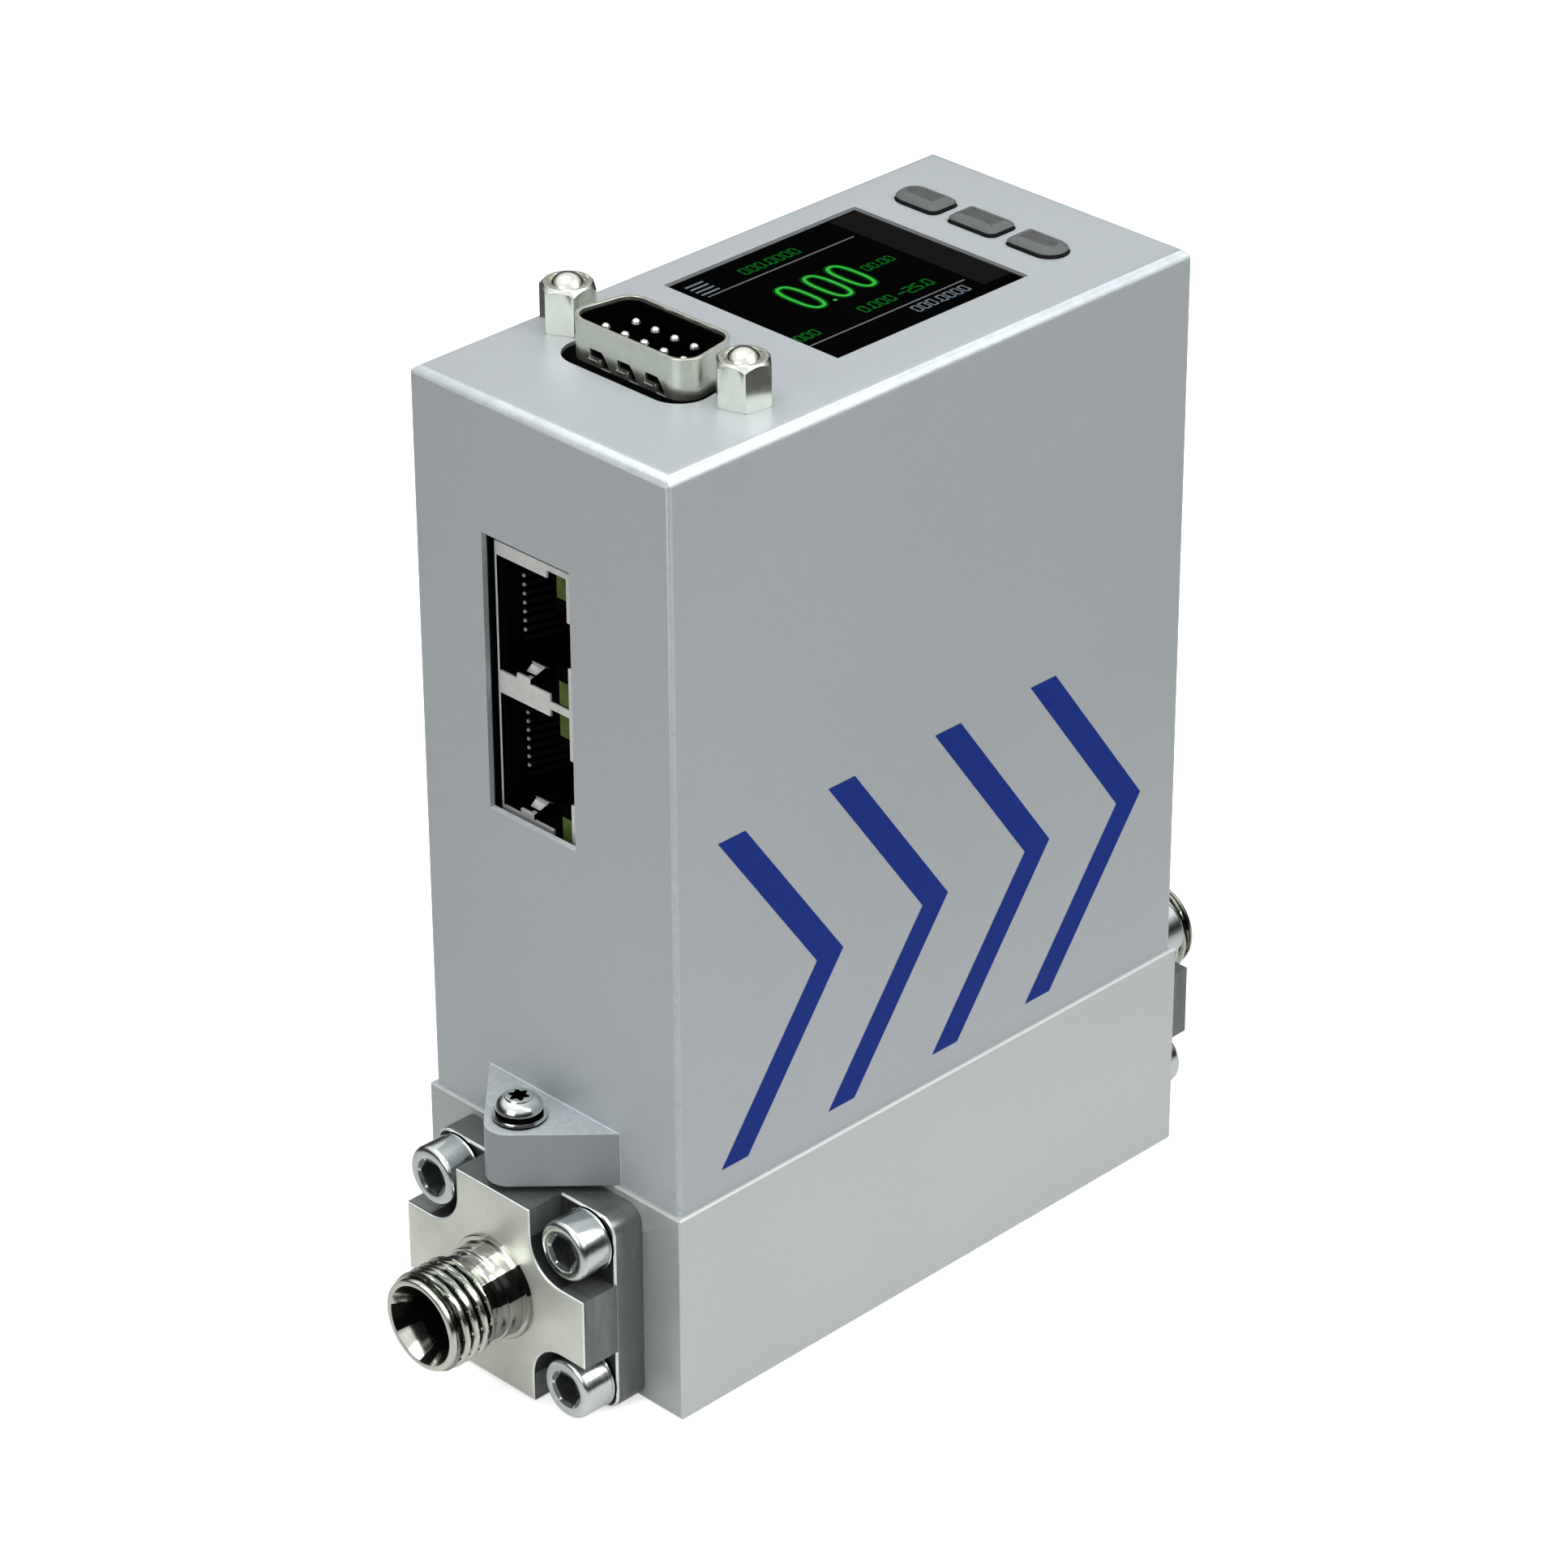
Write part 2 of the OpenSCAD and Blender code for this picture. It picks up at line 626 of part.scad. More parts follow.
module cover() {
    color([0.66, 0.68, 0.69]) difference() {
        union() {
            difference() {
                translate([0, 0, base_h]) cover_body();
                span([-inner_x, -inner_y, base_h - 1], [inner_x, inner_y, under_z]);
            }
            for (x = post_x, s = [-1, 1]) translate([x, s*post_y, front_board_top])
                cylinder(r = post_r, h = cover_z - front_board_top - top_t/2, $fn = 32);
            for (turn = [0, 180]) rotate(turn) translate([wall_x, 0, base_h])
                linear_extrude(ear_h) ear_outline();
        }
        for (side = [-1, 1]) translate([side*ear_screw_x, 0, base_h - 1])
            cylinder(r = pan_r + 0.2, h = ear_h + 2, $fn = 32);
        for (x = post_x, s = [-1, 1]) translate([x, s*post_y, front_board_top - 1])
            cylinder(r = post_screw_r + tap_slip, h = under_z - front_board_top + 1, $fn = 24);
        translate([serial_cx, feature_y, serial_flange_z - serial_nut_t])
            linear_extrude(serial_flange_t + serial_nut_t)
                rounded_rect([serial_flange_d + 2*slip, serial_flange_w + 2*slip], 2);
        translate([serial_cx, feature_y, under_z - 1]) linear_extrude(top_t + 2)
            d_outline(serial_gap_d, serial_gap_w);
        for (y = jack_y) translate([serial_cx, y, under_z - 1])
            cylinder(r = jack_hole_r, h = top_t + 2, $fn = 32);
        translate([window_cx, window_cy, under_z - 1]) linear_extrude(top_t + 2)
            square([window_l, window_w], center = true);
        for (i = [-1:1]) translate([key_cx, feature_y + i*key_pitch, under_z - 1])
            linear_extrude(top_t + 2) key_outline(i, key_gap);
        span([-wall_x - 1, net_open_y[0], base_h + net_open_z],
             [-inner_x + 1, net_open_y[1], base_h + net_open_z + net_open_h]);
        span([-wall_x + net_lip, net_open_y[0] - net_relief, base_h + net_open_z - net_relief],
             [-inner_x + 1, net_open_y[1] + net_relief,
              base_h + net_open_z + net_open_h + net_relief]);
    }
}

module cover_washers() {
    color([0.8, 0.8, 0.8]) for (side = [-1, 1])
        translate([side*ear_screw_x, 0, base_h + ear_h])
            ring(pan_r + 0.15, pan_washer_r, pan_washer_t);
}

module cover_screws() {
    color([0.82, 0.82, 0.82]) for (side = [-1, 1])
        translate([side*ear_screw_x, 0, base_h + ear_h + pan_washer_t])
            pan_screw(pan_r, pan_l, pan_head_r, pan_head_h);
}

// ---- Serial connector ----

// Bright shell with its flange, and a pressed tongue below each of its three notches
module serial_shell() {
    notch = [[1, 1.75], [-0.7, 1.75], [-1.05, 1.35], [-1.9, 0.05], [-0.65, 0.05], [-0.5, 0.85],
             [1, 0.85]];
    tongue = [[0.1, 0.1], [-0.35, 0.7], [-0.35, 0.85], [0.1, 0.85]];
    color([0.8, 0.79, 0.75]) for (i = [-1:1])
        translate([serial_cx - shell_d/2, feature_y + i*notch_pitch + 0.9,
                   cover_z - gasket_sink])
            rotate([90, 0, 0]) linear_extrude(1.3) polygon(tongue);
    color([0.8, 0.79, 0.75]) difference() {
        translate([serial_cx, feature_y, serial_flange_z]) union() {
            linear_extrude(serial_flange_t)
                rounded_rect([serial_flange_d, serial_flange_w], 2);
            linear_extrude(shell_top_z - serial_flange_z) d_outline(0, 0);
        }
        translate([serial_cx, feature_y, serial_flange_z - 1])
            linear_extrude(shell_top_z) d_outline(-shell_t, -shell_t);
        for (y = jack_y) translate([serial_cx, y, serial_flange_z - 1])
            cylinder(r = jack_stud_r + 0.15, h = serial_flange_t + 2, $fn = 32);
        for (i = [-1:1])
            translate([serial_cx - shell_d/2 - 1, feature_y + i*notch_pitch,
                       cover_z - gasket_sink])
                rotate([90, 0, 90]) linear_extrude(1.2 + shell_t) polygon(notch);
    }
}

// Puts its children at each pin: five in the row towards -X, four in the other
module at_pins() {
    for (i = [-2:2]) translate([serial_cx - pin_row/2, feature_y + i*pin_pitch, 0]) children();
    for (i = [-1.5:1.5]) translate([serial_cx + pin_row/2, feature_y + i*pin_pitch, 0])
        children();
}

// Black block round the pins, whose thin liner covers the inside of the shell
module serial_insulator() {
    outside = -shell_t - slip;
    inside = outside - serial_liner_t;
    color([0.08, 0.08, 0.09]) difference() {
        translate([serial_cx, feature_y, front_board_top]) union() {
            linear_extrude(serial_flange_z - front_board_top)
                rounded_rect([serial_flange_d - 1.6, shell_w], 1);
            linear_extrude(serial_liner_z - front_board_top) d_outline(outside, outside);
        }
        translate([serial_cx, feature_y, serial_floor_z]) linear_extrude(shell_h)
            d_outline(inside, inside);
        translate([0, 0, front_board_top - 1]) at_pins()
            cylinder(r = pin_r + slip, h = serial_floor_z, $fn = 24);
    }
}

module serial_pins() {
    l = pin_tip_z - front_board_z + 1.2;
    color([0.9, 0.88, 0.8]) translate([0, 0, pin_tip_z - l]) at_pins()
        rotate_extrude($fn = 24) polygon([[0, 0], [0.7*pin_r, 0], [pin_r, 0.3],
            [pin_r, l - 0.45], [0.8*pin_r, l - 0.15], [0.4*pin_r, l], [0, l]]);
}

// Black filler between the shell and the edge of the cover's opening
module serial_gasket() {
    color([0.05, 0.05, 0.05]) translate([serial_cx, feature_y, under_z]) difference() {
        linear_extrude(top_t - gasket_sink)
            d_outline(serial_gap_d - slip, serial_gap_w - slip);
        translate([0, 0, -1]) linear_extrude(top_t + 2) d_outline(slip, slip);
    }
}

module serial_nuts() {
    color([0.75, 0.75, 0.75]) for (y = jack_y)
        translate([serial_cx, y, serial_flange_z - serial_nut_t]) difference() {
            hex_bar(serial_nut_af, serial_nut_t);
            translate([0, 0, -1]) cylinder(r = jack_stud_r + slip, h = serial_nut_t + 2, $fn = 32);
        }
}

// Hexagon with a chamfered crown, a dome in its end and a stud below
module jackscrew() {
    af_r = jack_af/2;
    corner_r = jack_af/sqrt(3);
    dome_r = 0.74*af_r;
    groove_r = dome_r + 0.1;
    intersection() {
        hex_bar(jack_af, jack_h);
        rotate_extrude($fn = 64) polygon([[0, 0], [corner_r - 0.1, 0], [corner_r, 0.15],
            [corner_r, jack_h - 0.65], [af_r - 0.15, jack_h], [groove_r, jack_h],
            [groove_r, jack_h - 0.5], [0, jack_h - 0.5]]);
    }
    translate([0, 0, jack_h - dome_r + 0.9]) sphere(r = dome_r, $fn = 48);
    translate([0, 0, -top_t - serial_flange_t - serial_nut_t - 0.1])
        cylinder(r = jack_stud_r, h = top_t + serial_flange_t + serial_nut_t + 1, $fn = 48);
}

module jackscrews() {
    color([0.82, 0.81, 0.78]) for (i = [0, 1]) translate([serial_cx, jack_y[i], cover_z])
        rotate(jack_turn[i]) jackscrew();
}

// ---- Network jacks ----

// Puts its children at the middle of each jack
module at_jacks() {
    for (s = [-1, 1]) translate([net_front_x, 0, net_cz + s*net_pitch/2]) children();
}

module network_shield() {
    tab = [[0, -0.3], [2.45, -0.3], [3.15, 0.25], [3.75, -0.1], [3.9, 0.15], [3.15, 0.6],
           [2.35, 0.05], [net_skin, 0.05], [net_skin, 0.45], [0, 0.45]];
    color([0.85, 0.85, 0.82]) union() {
        difference() {
            span([net_front_x, net_y0, net_cz - net_h/2],
                 [net_front_x + net_l, main_board_y, net_cz + net_h/2]);
            span([net_front_x + net_skin, net_y0 + net_skin, net_cz - net_h/2 + net_skin],
                 [net_front_x + net_l - net_skin, main_board_y - net_skin,
                  net_cz + net_h/2 - net_skin]);
            at_jacks() {
                span([-1, net_face_y[1] - 0.1, -net_open_half],
                     [net_skin + 0.1, net_face_y[2], net_open_half]);
                span([-1, net_face_y[0], -net_led_z[1] - 0.1],
                     [net_skin + 0.1, net_face_y[1], net_led_z[1] + 0.1]);
                span([-1, net_y0 - 1, -net_notch_w/2],
                     [net_skin + 0.1, net_face_y[0] + 0.1, net_notch_w/2]);
            }
        }
        at_jacks() translate([0, net_tab_y[1], -net_open_half + 0.2])
            rotate([90, 0, 0]) linear_extrude(net_tab_y[1] - net_tab_y[0]) polygon(tab);
    }
}

module network_housing() {
    gap = net_skin + slip;
    color([0.06, 0.06, 0.06]) difference() {
        span([net_front_x + gap, net_y0 + gap, net_cz - net_h/2 + gap],
             [net_front_x + net_l - gap, main_board_y - gap, net_cz + net_h/2 - gap]);
        at_jacks() {
            span([-1, net_cavity_y[0], -net_cavity_h/2],
                 [net_cavity_d, net_cavity_y[1], net_cavity_h/2]);
            span([-1, net_y0 + gap + 0.5, -3.2], [net_cavity_d, net_cavity_y[0] + 1, 3.2]);
            span([-1, net_tab_y[0] - 0.2, -net_open_half - 0.2],
                 [4.2, net_tab_y[1] + 0.2, 0]);
            for (s = [-1, 1]) translate([0, 0, s*(net_led_z[0] + net_led_z[1])/2])
                span([-1, net_led_y[0] - slip, (net_led_z[0] - net_led_z[1])/2 - slip],
                     [net_led_l + gap + slip, net_led_y[1] + slip,
                      (net_led_z[1] - net_led_z[0])/2 + slip]);
        }
    }
}

// Eight springy contacts in each jack, leaning out from the back of the cavity
module network_contacts() {
    run = net_cavity_d - 2.9;
    lean = atan(2.8/run);
    color([0.85, 0.7, 0.35]) at_jacks() for (i = [-3.5:3.5])
        translate([2.8, net_cavity_y[1] - 0.1, i*net_contact_pitch]) rotate(-lean)
            translate([0, -0.35, -0.2]) cube([run/cos(lean), 0.3, 0.4]);
}

module network_light_pipes() {
    color([0.45, 0.6, 0.2]) at_jacks() for (s = [-1, 1])
        translate([net_skin + slip, 0, s*(net_led_z[0] + net_led_z[1])/2])
            span([0, net_led_y[0], (net_led_z[0] - net_led_z[1])/2],
                 [net_led_l, net_led_y[1], (net_led_z[1] - net_led_z[0])/2]);
}

// ---- Display and keys ----

module display_window() {
    color([0.03, 0.03, 0.04]) translate([window_cx, window_cy, under_z]) union() {
        translate([0, 0, -window_t]) linear_extrude(window_t)
            rounded_rect([window_l + 2*window_lip, window_w + 2*window_lip], 1);
        linear_extrude(top_t - window_recess)
            square([window_l - 4*slip, window_w - 4*slip], center = true);
    }
}

module display_module() {
    color([0.3, 0.32, 0.34]) translate([window_cx, window_cy, front_board_top])
        linear_extrude(module_t) square([window_l + 2, window_w + 2], center = true);
}

module front_board() {
    x0 = post_x[0] - 2.6;
    x1 = post_x[1] + 2.6;
    color([0.1, 0.35, 0.2]) difference() {
        span([x0, -inner_y + 1.2, front_board_z], [x1, inner_y - 0.7, front_board_top]);
        for (x = post_x, s = [-1, 1]) translate([x, s*post_y, front_board_z - 1])
            cylinder(r = post_screw_r + 0.15, h = board_t + 2, $fn = 24);
        translate([0, 0, front_board_z - 1]) at_pins()
            cylinder(r = pin_r + slip, h = board_t + 2, $fn = 24);
    }
}

module front_board_screws() {
    color([0.8, 0.8, 0.8]) for (x = post_x, s = [-1, 1])
        translate([x, s*post_y, front_board_z]) rotate([180, 0, 0])
            pan_screw(post_screw_r, board_t + 2.6, small_head_r, 1.3);
}

module key(i) {
    color([0.33, 0.34, 0.34]) translate([key_cx, feature_y + i*key_pitch, 0]) union() {
        intersection() {
            translate([0, 0, key_skirt_z]) linear_extrude(cover_z + key_h - key_skirt_z)
                key_outline(i, 0);
            translate([0, 0, cover_z + key_h - crown_r]) sphere(r = crown_r, $fn = 96);
        }
        translate([0, 0, key_skirt_z]) linear_extrude(key_skirt_t) key_outline(i, key_skirt_w);
    }
}

module upper_key() key(1);
module middle_key() key(0);
module lower_key() key(-1);

module key_switches() {
    body_h = 0.65*switch_t;
    color([0.15, 0.15, 0.16]) for (i = [-1:1])
        translate([key_cx, feature_y + i*key_pitch, front_board_top]) union() {
            linear_extrude(body_h) cut_rect([5, 5], 0.5);
            cylinder(r = 1.3, h = switch_t, $fn = 32);
        }
}

// ---- Boards ----

module main_board() {
    color([0.08, 0.32, 0.18]) difference() {
        span([main_board_x[0], main_board_y, main_board_z],
             [main_board_x[1], main_board_y + board_t, main_board_top]);
        for (x = bracket_x) translate([x, main_board_y - 1, bracket_screw_z])
            rotate([-90, 0, 0]) cylinder(r = small_screw_r + 0.15, h = board_t + 2, $fn = 24);
    }
}

module board_header() {
    color([0.9, 0.88, 0.82]) span([-8, main_board_y - 4, main_board_top - 5],
                                  [12, main_board_y, front_board_z]);
}

// Puts its children on the main board: end is 0 or 1 for the edge that d is measured from
module on_board(end, d, up) {
    translate([main_board_x[end] + (1 - 2*end)*d, main_board_y, main_board_z + up])
        rotate([90, 0, 0]) children();
}

module board_chips() {
    // edge, distance from it, height on the board, length, height, thickness
    chips = [[1, 25, 41.2, 14, 14, 1.4], [1, 8, 27.2, 10, 8, 2.4], [0, 25.2, 13.2, 9, 9, 1.2],
             [0, 27.2, 53.2, 9, 9, 1.8], [1, 8, 55.2, 8, 5, 1.6]];
    color([0.12, 0.12, 0.13]) for (c = chips)
        on_board(c[0], c[1], c[2]) linear_extrude(c[5]) cut_rect([c[3], c[4]], 0.4);
}

module board_capacitors() {
    can_r = 3.2;
    can_l = 7;
    bead_r = can_r - 0.3;
    places = [[0, 29.2, 31.2], [1, 8, 42.2]];
    color([0.2, 0.22, 0.3]) for (p = places)
        on_board(p[0], p[1], p[2]) rotate_extrude($fn = 40) polygon([
            [0, 0], [can_r, 0], [can_r, 1.2], [bead_r, 1.5], [bead_r, 1.8], [can_r, 2.1],
            [can_r, can_l], [0, can_l]]);
}

module board_brackets() {
    color([0.7, 0.7, 0.7]) for (x = bracket_x) difference() {
        union() {
            span([x - bracket_w/2, bracket_y, base_h],
                 [x + bracket_w/2, bracket_y + bracket_t, base_h + bracket_h]);
            span([x - bracket_w/2, bracket_y, base_h],
                 [x + bracket_w/2, bracket_y + bracket_foot, base_h + bracket_t]);
        }
        translate([x, bracket_foot_y, base_h - 1])
            cylinder(r = small_screw_r + 0.1, h = bracket_t + 2, $fn = 24);
        translate([x, bracket_y - 1, bracket_screw_z]) rotate([-90, 0, 0])
            cylinder(r = small_screw_r + slip, h = bracket_t + 2, $fn = 24);
    }
}

module bracket_screws() {
    color([0.8, 0.8, 0.8]) for (x = bracket_x) {
        translate([x, bracket_foot_y, base_h + bracket_t])
            pan_screw(small_screw_r, 5, small_head_r, small_head_h);
        translate([x, main_board_y, bracket_screw_z]) rotate([90, 0, 0])
            pan_screw(small_screw_r, board_t + bracket_t + 0.6, small_head_r, small_head_h);
    }
}

// ---- Sensor ----

module sensor_seal() {
    color([0.1, 0.1, 0.1]) for (x = sensor_ports) translate([x, 0, base_h])
        ring(sensor_port_r + 0.2, sensor_seal_r, sensor_seal_t);
}

module sensor_block() {
    channel_z = base_h + 3;
    color([0.7, 0.7, 0.72]) difference() {
        translate([sensor_cx, 0, base_h]) linear_extrude(sensor_block_h)
            cut_rect([sensor_block_l, sensor_block_w], 1);
        for (x = sensor_ports) {
            translate([x, 0, base_h - 1])
                cylinder(r = sensor_seal_r + slip, h = sensor_seal_t + 1, $fn = 32);
            translate([x, 0, base_h - 1])
                cylinder(r = sensor_port_r, h = channel_z - base_h + 1, $fn = 32);
        }
        translate([sensor_ports[0], 0, channel_z]) rotate([0, 90, 0])
            cylinder(r = sensor_port_r, h = sensor_ports[1] - sensor_ports[0], $fn = 32);
        span([sensor_cx - sensor_recess, -sensor_recess, channel_z],
             [sensor_cx + sensor_recess, sensor_recess, base_h + sensor_block_h + 1]);
        for (s = [-1, 1]) translate([sensor_cx, s*sensor_screw_y, base_h - 1])
            cylinder(r = small_screw_r + 0.1, h = sensor_block_h + 2, $fn = 24);
    }
}

module sensor_board() {
    color([0.1, 0.35, 0.2]) difference() {
        translate([sensor_cx, 0, base_h + sensor_block_h]) linear_extrude(sensor_board_t)
            cut_rect([sensor_block_l - 3, sensor_block_w - 0.6], 1);
        for (s = [-1, 1]) translate([sensor_cx, s*sensor_screw_y, base_h + sensor_block_h - 1])
            cylinder(r = small_screw_r + 0.1, h = sensor_board_t + 2, $fn = 24);
    }
}

module sensor_chip() {
    color([0.2, 0.2, 0.22]) translate([sensor_cx, 0, base_h + sensor_block_h - 1.2])
        linear_extrude(1.2) cut_rect([sensor_chip_l, sensor_chip_l], 0.3);
}

module sensor_screws() {
    color([0.8, 0.8, 0.8]) for (s = [-1, 1])
        translate([sensor_cx, s*sensor_screw_y, base_h + sensor_block_h + sensor_board_t])
            pan_screw(small_screw_r, sensor_screw_l, small_head_r, small_head_h);
}

// ---- Valve ----

module valve_seat() {
    color([0.75, 0.75, 0.72]) translate([valve_x, 0, 0]) rotate_extrude($fn = 64) polygon([
        [orifice_r, seat_z], [seat_r, seat_z], [seat_r, pocket_floor_z],
        [seat_lip_r + 0.5, pocket_floor_z], [seat_lip_r, seat_lip_z],
        [orifice_r, seat_lip_z]]);
}

module valve_seal() {
    color([0.1, 0.1, 0.1]) translate([valve_x, 0, pocket_step_z])
        ring(pocket_low_r + 0.4, pocket_r - 0.9, 1);
}

// Guide tube, closed at the top by the fixed core, whose stub takes the nut
module valve_guide() {
    core_top = yoke_top_z + yoke_t;
    stub_top = core_top + nut_t + 1;
    color([0.78, 0.78, 0.76]) translate([valve_x, 0, 0]) difference() {
        rotate_extrude($fn = 64) polygon([
            [guide_r, pocket_step_z], [pocket_r - slip, pocket_step_z],
            [pocket_r - slip, base_h], [tube_r, base_h], [tube_r, core_top],
            [stub_thread_r, core_top], [stub_thread_r, stub_top], [0, stub_top],
            [0, core_z], [guide_r, core_z]]);
        translate([0, 0, pocket_step_z - 1])
            ring(pocket_low_r + 0.3, pocket_r - 0.8, 2);
    }
}

module valve_plunger() {
    c = 0.3;
    color([0.6, 0.6, 0.6]) translate([valve_x, 0, 0]) rotate_extrude($fn = 64) polygon([
        [0, disc_top_z], [disc_r + slip, disc_top_z], [disc_r + slip, plunger_z],
        [plunger_r - c, plunger_z], [plunger_r, plunger_z + c],
        [plunger_r, plunger_top - c], [plunger_r - c, plunger_top],
        [spring_bore_r, plunger_top], [spring_bore_r, spring_bore_z], [0, spring_bore_z]]);
}

module valve_disc() {
    color([0.15, 0.15, 0.15]) translate([valve_x, 0, seat_lip_z])
        cylinder(r = disc_r, h = disc_top_z - seat_lip_z, $fn = 48);
}

// Closing spring: a round wire swept along a helix as rings of points
module valve_spring() {
    sides = 6;
    steps = 12*spring_turns;
    z0 = spring_bore_z + spring_wire_r + 0.02;
    rise = core_z - spring_wire_r - 0.02 - z0;
    points = [for (i = [0:steps], j = [0:sides - 1])
        let (a = i*360*spring_turns/steps, b = j*360/sides,
             r = spring_r + spring_wire_r*cos(b))
        [r*cos(a), r*sin(a), z0 + rise*i/steps + spring_wire_r*sin(b)]];
    tube = [for (i = [0:steps - 1], j = [0:sides - 1])
        let (k = (j + 1)%sides)
        [i*sides + j, i*sides + k, (i + 1)*sides + k, (i + 1)*sides + j]];
    ends = [[for (j = [sides - 1:-1:0]) j], [for (j = [0:sides - 1]) steps*sides + j]];
    color([0.7, 0.7, 0.7]) translate([valve_x, 0, 0])
        polyhedron(points = points, faces = concat(tube, ends));
}

module coil_bobbin() {
    r = tube_r + 2*slip;
    top = bobbin_z + bobbin_h;
    color([0.85, 0.82, 0.7]) translate([valve_x, 0, 0]) rotate_extrude($fn = 64) polygon([
        [r, bobbin_z], [bobbin_r, bobbin_z], [bobbin_r, bobbin_z + bobbin_t],
        [r + bobbin_wall, bobbin_z + bobbin_t], [r + bobbin_wall, top - bobbin_t],
        [bobbin_r, top - bobbin_t], [bobbin_r, top], [r, top]]);
}

module coil_winding() {
    color([0.72, 0.38, 0.2]) translate([valve_x, 0, bobbin_z + bobbin_t])
        ring(tube_r + 2*slip + bobbin_wall, coil_r, coil_h);
}

module valve_yoke() {
    foot_x = yoke_x + yoke_t + yoke_foot;
    color([0.55, 0.57, 0.58]) translate([valve_x, 0, 0]) difference() {
        union() {
            span([-foot_x, -yoke_w/2, base_h], [foot_x, yoke_w/2, base_h + yoke_t]);
            span([yoke_x, -yoke_w/2, base_h],
                 [yoke_x + yoke_t, yoke_w/2, yoke_top_z + yoke_t]);
            span([-yoke_x, -yoke_w/2, yoke_top_z],
                 [yoke_x + yoke_t, yoke_w/2, yoke_top_z + yoke_t]);
        }
        translate([0, 0, base_h - 1])
            cylinder(r = tube_r + 2*slip, h = yoke_top_z + yoke_t - base_h + 2, $fn = 48);
        for (s = [-1, 1]) translate([s*yoke_screw_x, 0, base_h - 1])
            cylinder(r = small_screw_r + 0.1, h = yoke_t + 2, $fn = 24);
    }
}

module valve_nut() {
    color([0.75, 0.75, 0.75]) translate([valve_x, 0, yoke_top_z + yoke_t]) difference() {
        hex_bar(nut_af, nut_t);
        translate([0, 0, -1]) cylinder(r = stub_thread_r + slip, h = nut_t + 2, $fn = 40);
    }
}

module valve_screws() {
    color([0.8, 0.8, 0.8]) for (s = [-1, 1])
        translate([valve_x + s*yoke_screw_x, 0, base_h + yoke_t])
            pan_screw(small_screw_r, 6, small_head_r, small_head_h);
}

base_block();
cover();
inlet_fitting();
outlet_fitting();
inlet_seal();
outlet_seal();
inlet_screws();
outlet_screws();
inlet_washers();
outlet_washers();
cover_screws();
cover_washers();
serial_shell();
serial_insulator();
serial_pins();
serial_gasket();
serial_nuts();
jackscrews();
network_shield();
network_housing();
network_contacts();
network_light_pipes();
display_window();
display_module();
front_board();
front_board_screws();
upper_key();
middle_key();
lower_key();
key_switches();
main_board();
board_header();
board_chips();
board_capacitors();
board_brackets();
bracket_screws();
inlet_screen();
flow_element();
sensor_seal();
sensor_block();
sensor_board();
sensor_chip();
sensor_screws();
valve_seat();
valve_seal();
valve_guide();
valve_plunger();
valve_disc();
valve_spring();
coil_bobbin();
coil_winding();
valve_yoke();
valve_nut();
valve_screws();
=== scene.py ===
"""Dresses the mass flow controller: fine pieces over the solids, finishes, studio and camera."""

import json
import logging
import math
from collections.abc import Callable
from dataclasses import dataclass, field
from enum import Enum

import bmesh
import bpy
import numpy as np
from mathutils import Matrix, Vector


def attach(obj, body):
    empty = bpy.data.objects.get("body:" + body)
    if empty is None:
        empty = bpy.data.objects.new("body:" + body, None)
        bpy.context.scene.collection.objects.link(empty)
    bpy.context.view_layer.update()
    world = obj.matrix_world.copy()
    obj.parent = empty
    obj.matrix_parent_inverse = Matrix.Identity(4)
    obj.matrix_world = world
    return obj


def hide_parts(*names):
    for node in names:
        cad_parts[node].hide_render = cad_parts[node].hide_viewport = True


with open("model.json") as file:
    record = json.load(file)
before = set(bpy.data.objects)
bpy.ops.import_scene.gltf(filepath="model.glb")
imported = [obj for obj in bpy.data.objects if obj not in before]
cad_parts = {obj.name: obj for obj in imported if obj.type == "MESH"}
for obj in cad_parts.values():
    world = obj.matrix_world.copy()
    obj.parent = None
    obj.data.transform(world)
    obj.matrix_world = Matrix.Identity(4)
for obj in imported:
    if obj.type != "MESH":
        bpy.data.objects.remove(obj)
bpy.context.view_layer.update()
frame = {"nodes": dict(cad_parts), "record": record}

LOG = logging.getLogger("flow_controller")
# A millimetre in metres.
MM = 0.001
# Edges that turn by more than this stay sharp, or get a bevel.
SHARP_ANGLE = math.radians(32)
# Faces that turn by less than this are one flat face.
FLAT_ANGLE = math.radians(0.5)
# Points of a node that lie closer than this, in millimetres, are one point.
MERGE_GAP = 0.002
# Least share of a face's normal along an axis that it faces, or faces squarely, and greatest
# share along one that it stands beside.
FACING, SQUARE, STANDING = 0.9, 0.97, 0.3


# ---- Surfaces ----


@dataclass
class Shell:
    """A mesh as whole arrays: points in millimetres and faces as rows of point numbers.

    Attributes:
        points: One row of x, y, z for each point.
        faces: Blocks of faces, each with as many columns as its faces have corners.
    """

    points: np.ndarray
    faces: list[np.ndarray] = field(default_factory=list)

    def moved(self, rows: tuple[tuple[float, float, float], ...],
              origin: tuple[float, float, float]) -> "Shell":
        """Turns the shell onto new axes and moves it.

        Args:
            rows: Directions of the old x, y and z axes in the new frame, one in each row.
            origin: Place of the old origin in the new frame.

        Returns:
            The moved shell, with its faces still pointing outwards.
        """
        axes = np.array(rows, float)
        keeps = np.linalg.det(axes) > 0
        return Shell(self.points @ axes + np.array(origin, float),
                     [f if keeps else f[:, ::-1] for f in self.faces])

    def shifted(self, x: float, y: float, z: float) -> "Shell":
        """Moves the shell without turning it.

        Args:
            x: Shift along X.
            y: Shift along Y.
            z: Shift along Z.

        Returns:
            The moved shell.
        """
        return Shell(self.points + np.array([x, y, z]), self.faces)


